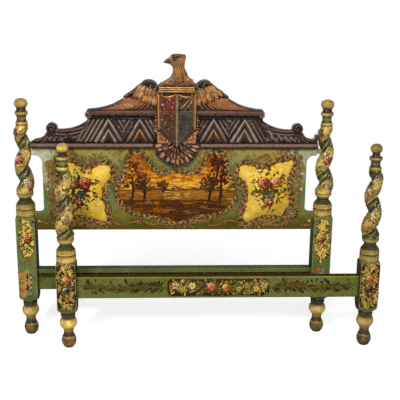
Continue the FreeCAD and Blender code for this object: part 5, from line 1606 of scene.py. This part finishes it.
for vert in canvas.verts:
    u, below = (vert.co.x - EAGLE_X) / MM, (eagle_high.z - vert.co.z) / MM
    crown = between(below, 18, 8)
    beak = between(u, -26, -38) if below < 70 else 0.0
    jaw = beak * between(below, 34, 44)
    # The breast darkens from its front towards the board behind it: painted shade on the rolled edges.
    base = mixed(UMBER, mixed(CHESTNUT, GOLD_TAN, 0.5), between(vert.co.y, 0.050, 0.036))
    colour = mixed(mixed(base, UMBER_DEEP, 0.85 * crown), UMBER_DEEP, 0.85 * beak)
    vert[tint] = mixed(colour, tone("aa6e5a"), 0.8 * jaw)
print("eagle rounded:", len(canvas.faces), "faces")

# %% [markdown]
# Six rows of narrow feathers cover the neck and the breast. As on the shafts, a ray finds the rounded
# wood for each. An eye, a brow and the line of the beak finish the head.

# %% Feather the neck and set the eye
HEAD_TOP = eagle_high.z / MM
NECK_MIDDLE = 12
eagle = show("eagle_probe", rounded)
bpy.context.view_layer.update()
for row in range(6):
    below = 48 + 21 * row
    for k in range(-8, 9):
        u = (k + 0.5 * (row % 2)) * 11 + NECK_MIDDLE - row * 0.4
        start = Vector((EAGLE_X + u * MM, -0.1, (HEAD_TOP - below) * MM))
        easel = easel_on(eagle, start, Vector((0, 1, 0)))
        if easel is None or (u < -14 and row < 2):
            continue
        lean = -pi / 2 + 0.008 * (u - NECK_MIDDLE) * (row - 1) + roll(-0.15, 0.15)
        colour = mixed(UMBER, GOLD_TAN, chance() ** 0.7)
        stamp((canvas, easel), LEAF_MARK, (0, 0, -0.4, lean, 44, 9, 2.0), UMBER_DEEP, colour)
bpy.data.objects.remove(eagle)
head = canvas, upright(EAGLE_X, eagle_low.y + 7 * MM)
for size, lift, light in ((18, 1.0, TAN), (9, 4.5, SOOT)):
    stamp(head, PETAL, (-12, HEAD_TOP - 24, lift, 0, size, size * 0.8, 4), SOOT, light)
BEAK = ((-24, 38), (-42, 37), (-58, 40)), 2.2, SOOT
BROW = ((-22, 14), (-4, 15), (16, 12)), 4.0, UMBER_DEEP
for points, thick, light in (BEAK, BROW):
    stroke(head, [(u, HEAD_TOP - below) for u, below in points], thick, SOOT, light, 2.0)
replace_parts(hang(canvas, "eagle_carved", "headboard", carved_wood), "eagle_body")

# %% [markdown]
# ## Shield dressings
# A triple roll caps the shield, tan scrolls flare at its upper corners, stacked beads flank its lower
# part, and short dabs of other paint break up the plain fields.

# %% Dress the shield
BRIGHT_GOLD, ASH = tones("d89a44 b8aca0")
SWAG = ((70, 1196), (44, 1190), (18, 1196), (4, 1204))
LOWER_EDGE = ((90, 1050), (46, 1008), (4, 962))
FIELD_DABS = ((-1, 1124, 1188, 1.5, (tone("8a1e12"), LILAC, ASH, ASH)),
              (1, 1124, 1188, 0.9, (TAN, ASH, OCHRE_DEEP, SOOT)),
              (-1, 1036, 1114, 0.1, (RUST, GOLD_TAN, LILAC, UMBER)),
              (1, 1036, 1114, 0.2, (UMBER, LILAC, SOOT, tone("5c6860"))))
canvas = new_canvas()
cap_low, cap_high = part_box("shield_cap")
cap_half = (cap_high.x - cap_low.x) / 2 / MM
cap, eagle = (canvas, upright(EAGLE_X, cap_low.y)), (canvas, eagle_easel)
for rise in (4, 13, 22):
    v = cap_low.z / MM + rise
    ridge(cap, [(-cap_half, v), (cap_half, v)], 4.4, mixed(GOLD_TAN, BRIGHT_GOLD, rise / 22), flat=1.0)
for side in (1, -1):
    stamp(eagle, CURL, (side * 80, 1202, 14, facing(0.6, side), 32, side * 32, 9), UMBER, BRIGHT_GOLD)
    stroke(eagle, on_side(side, SWAG), 4.0, UMBER, BRIGHT_GOLD, 24.0)
    for k in range(6):
        bead = side * 95, 1094 - 13 * k, 3.0, 0, 13, 11, 7
        stamp(eagle, PETAL, bead, SOOT, mixed(TAN, BRIGHT_GOLD, k % 2))
    stroke(eagle, on_side(side, LOWER_EDGE), 5.0, SOOT, UMBER_DEEP, 3.0, 1.0, False, 2)


def shield_mark(points, thick, colour):
    """A dab that follows the bowed face of the shield."""
    line = smooth([(u, v, 24.2 - 11 * (u / 87) ** 2) for u, v in points], fine=4)
    last = len(line) - 1
    swell = [thick * (0.3 + 0.7 * sin(pi * k / last)) for k in range(len(line))]
    rod(eagle, line, swell, mixed(colour, SOOT, 0.6), colour)


for side, low, high, lean, colours in FIELD_DABS:
    for k in range(16):
        u, v = side * roll(14, 72), roll(low, high)
        way, half = lean + stray(0, 0.1), roll(3, 8)
        line = [polar(u, v, way, reach) for reach in (-half, 0, half)]
        shield_mark(line, roll(3.0, 5.0), mixed(pick(colours), SOOT, 0.5 * chance()))
shield_mark([(12, 1128), (34, 1152), (62, 1184)], 4.4, TAN)
hang(canvas, "shield_dressings", "headboard", carved_wood)

# %% [markdown]
# ## Studio
# The camera repeats the photograph's place: its height, its slight turn to the right and its tilt,
# through a lens of 72 mm.

# %% Camera
CAMERA_PLACE = (-0.1438, -3.6296, 1.7068)
YAW, PITCH, ROLL = 2.487, -15.397, 0.614
camera_data = bpy.data.cameras.new("camera")
camera_data.lens, camera_data.sensor_width = 72.0, 36.0
camera = show("camera", camera_data)
yaw, pitch, tilt = (angle * pi / 180 for angle in (YAW, PITCH, ROLL))
camera.matrix_world = (Matrix.Translation(CAMERA_PLACE) @ Matrix.Rotation(-yaw, 4, "Z")
                       @ Matrix.Rotation(pi / 2 + pitch, 4, "X") @ Matrix.Rotation(tilt, 4, "Z"))
bpy.context.scene.camera = camera
print("camera at", CAMERA_PLACE)

# %% [markdown]
# The bed stands on a pale floor that fades to plain white away from it. What the camera, a gloss or a
# glass sees of the floor and the sky is bright; what they throw back on the bed is weaker.

# %% The pale floor
FLOOR_NEAR, FLOOR_FAR = 1.1, 1.9
WHITE, PALE, GREY = ((level, level, level, 1) for level in (1.0, 0.8, 0.5))


def shown_rays(tree):
    """1 for what is seen directly, in a gloss or through glass."""
    seen = add(tree, "LightPath").outputs
    direct = maths(tree, "MAXIMUM", seen["Is Camera Ray"], seen["Is Glossy Ray"])
    return maths(tree, "MAXIMUM", direct, seen["Is Transmission Ray"])


bm = bmesh.new()
bmesh.ops.create_grid(bm, x_segments=1, y_segments=1, size=20.0)
floor_mesh = settled(bm, bpy.data.meshes.new("floor"))
floor = show("floor", floor_mesh)
floor_paint = bpy.data.materials.new("floor_paint")
tree = cleared(floor_paint)
away = vectors(tree, "LENGTH", spot_on(tree))["Value"]
pale = add(tree, "BsdfDiffuse", {"Color": PALE}).outputs[0]
dull = add(tree, "BsdfDiffuse", {"Color": GREY}).outputs[0]
glow = add(tree, "Emission", {"Color": WHITE, "Strength": 0.55}).outputs[0]
white = add(tree, "Emission", {"Color": WHITE, "Strength": 1.0}).outputs[0]
near = add(tree, "AddShader", {0: pale, 1: glow}).outputs[0]
lit = add(tree, "MixShader", {0: fade(tree, away, FLOOR_NEAR, FLOOR_FAR), 1: near, 2: white}).outputs[0]
both = add(tree, "MixShader", {0: shown_rays(tree), 1: dull, 2: lit}).outputs[0]
add(tree, "OutputMaterial", {"Surface": both})
floor_mesh.materials.append(floor_paint)
print("floor laid")

# %% [markdown]
# A lamp high on the left models the carving, a broad one fills from the front, one lights the back, and
# two small ones put sparks on the varnish. The sky adds an even light.

# %% Lamps and sky
LAMPS = (("key", (-2.0, -3.6, 3.0), 0.5, 112), ("front", (0.4, -4.3, 2.4), 2.0, 88),
         ("back", (0.5, 3.2, 2.8), 2.4, 50), ("spark_right", (2.4, -3.5, 2.6), 0.3, 34),
         ("spark_top", (-0.4, -3.6, 3.9), 0.3, 30))
AIM = Vector((0, 0, 0.7))
SKY_LIGHT = 0.18
for name, place, size, power in LAMPS:
    lamp = bpy.data.lights.new(name, "AREA")
    lamp.size, lamp.energy = size, power
    holder = show(name, lamp)
    holder.location = place
    holder.rotation_euler = (AIM - Vector(place)).to_track_quat("-Z", "Y").to_euler()
world = bpy.data.worlds.new("sky")
bpy.context.scene.world = world
tree = cleared(world)
level = add(tree, "Mix", {0: shown_rays(tree), 2: SKY_LIGHT, 3: 1.0}).outputs[0]
sky = add(tree, "Background", {"Color": WHITE, "Strength": level}).outputs[0]
add(tree, "OutputWorld", {"Surface": sky})
bpy.context.scene.view_settings.view_transform = "Standard"
print("studio lit by", len(LAMPS), "lamps")
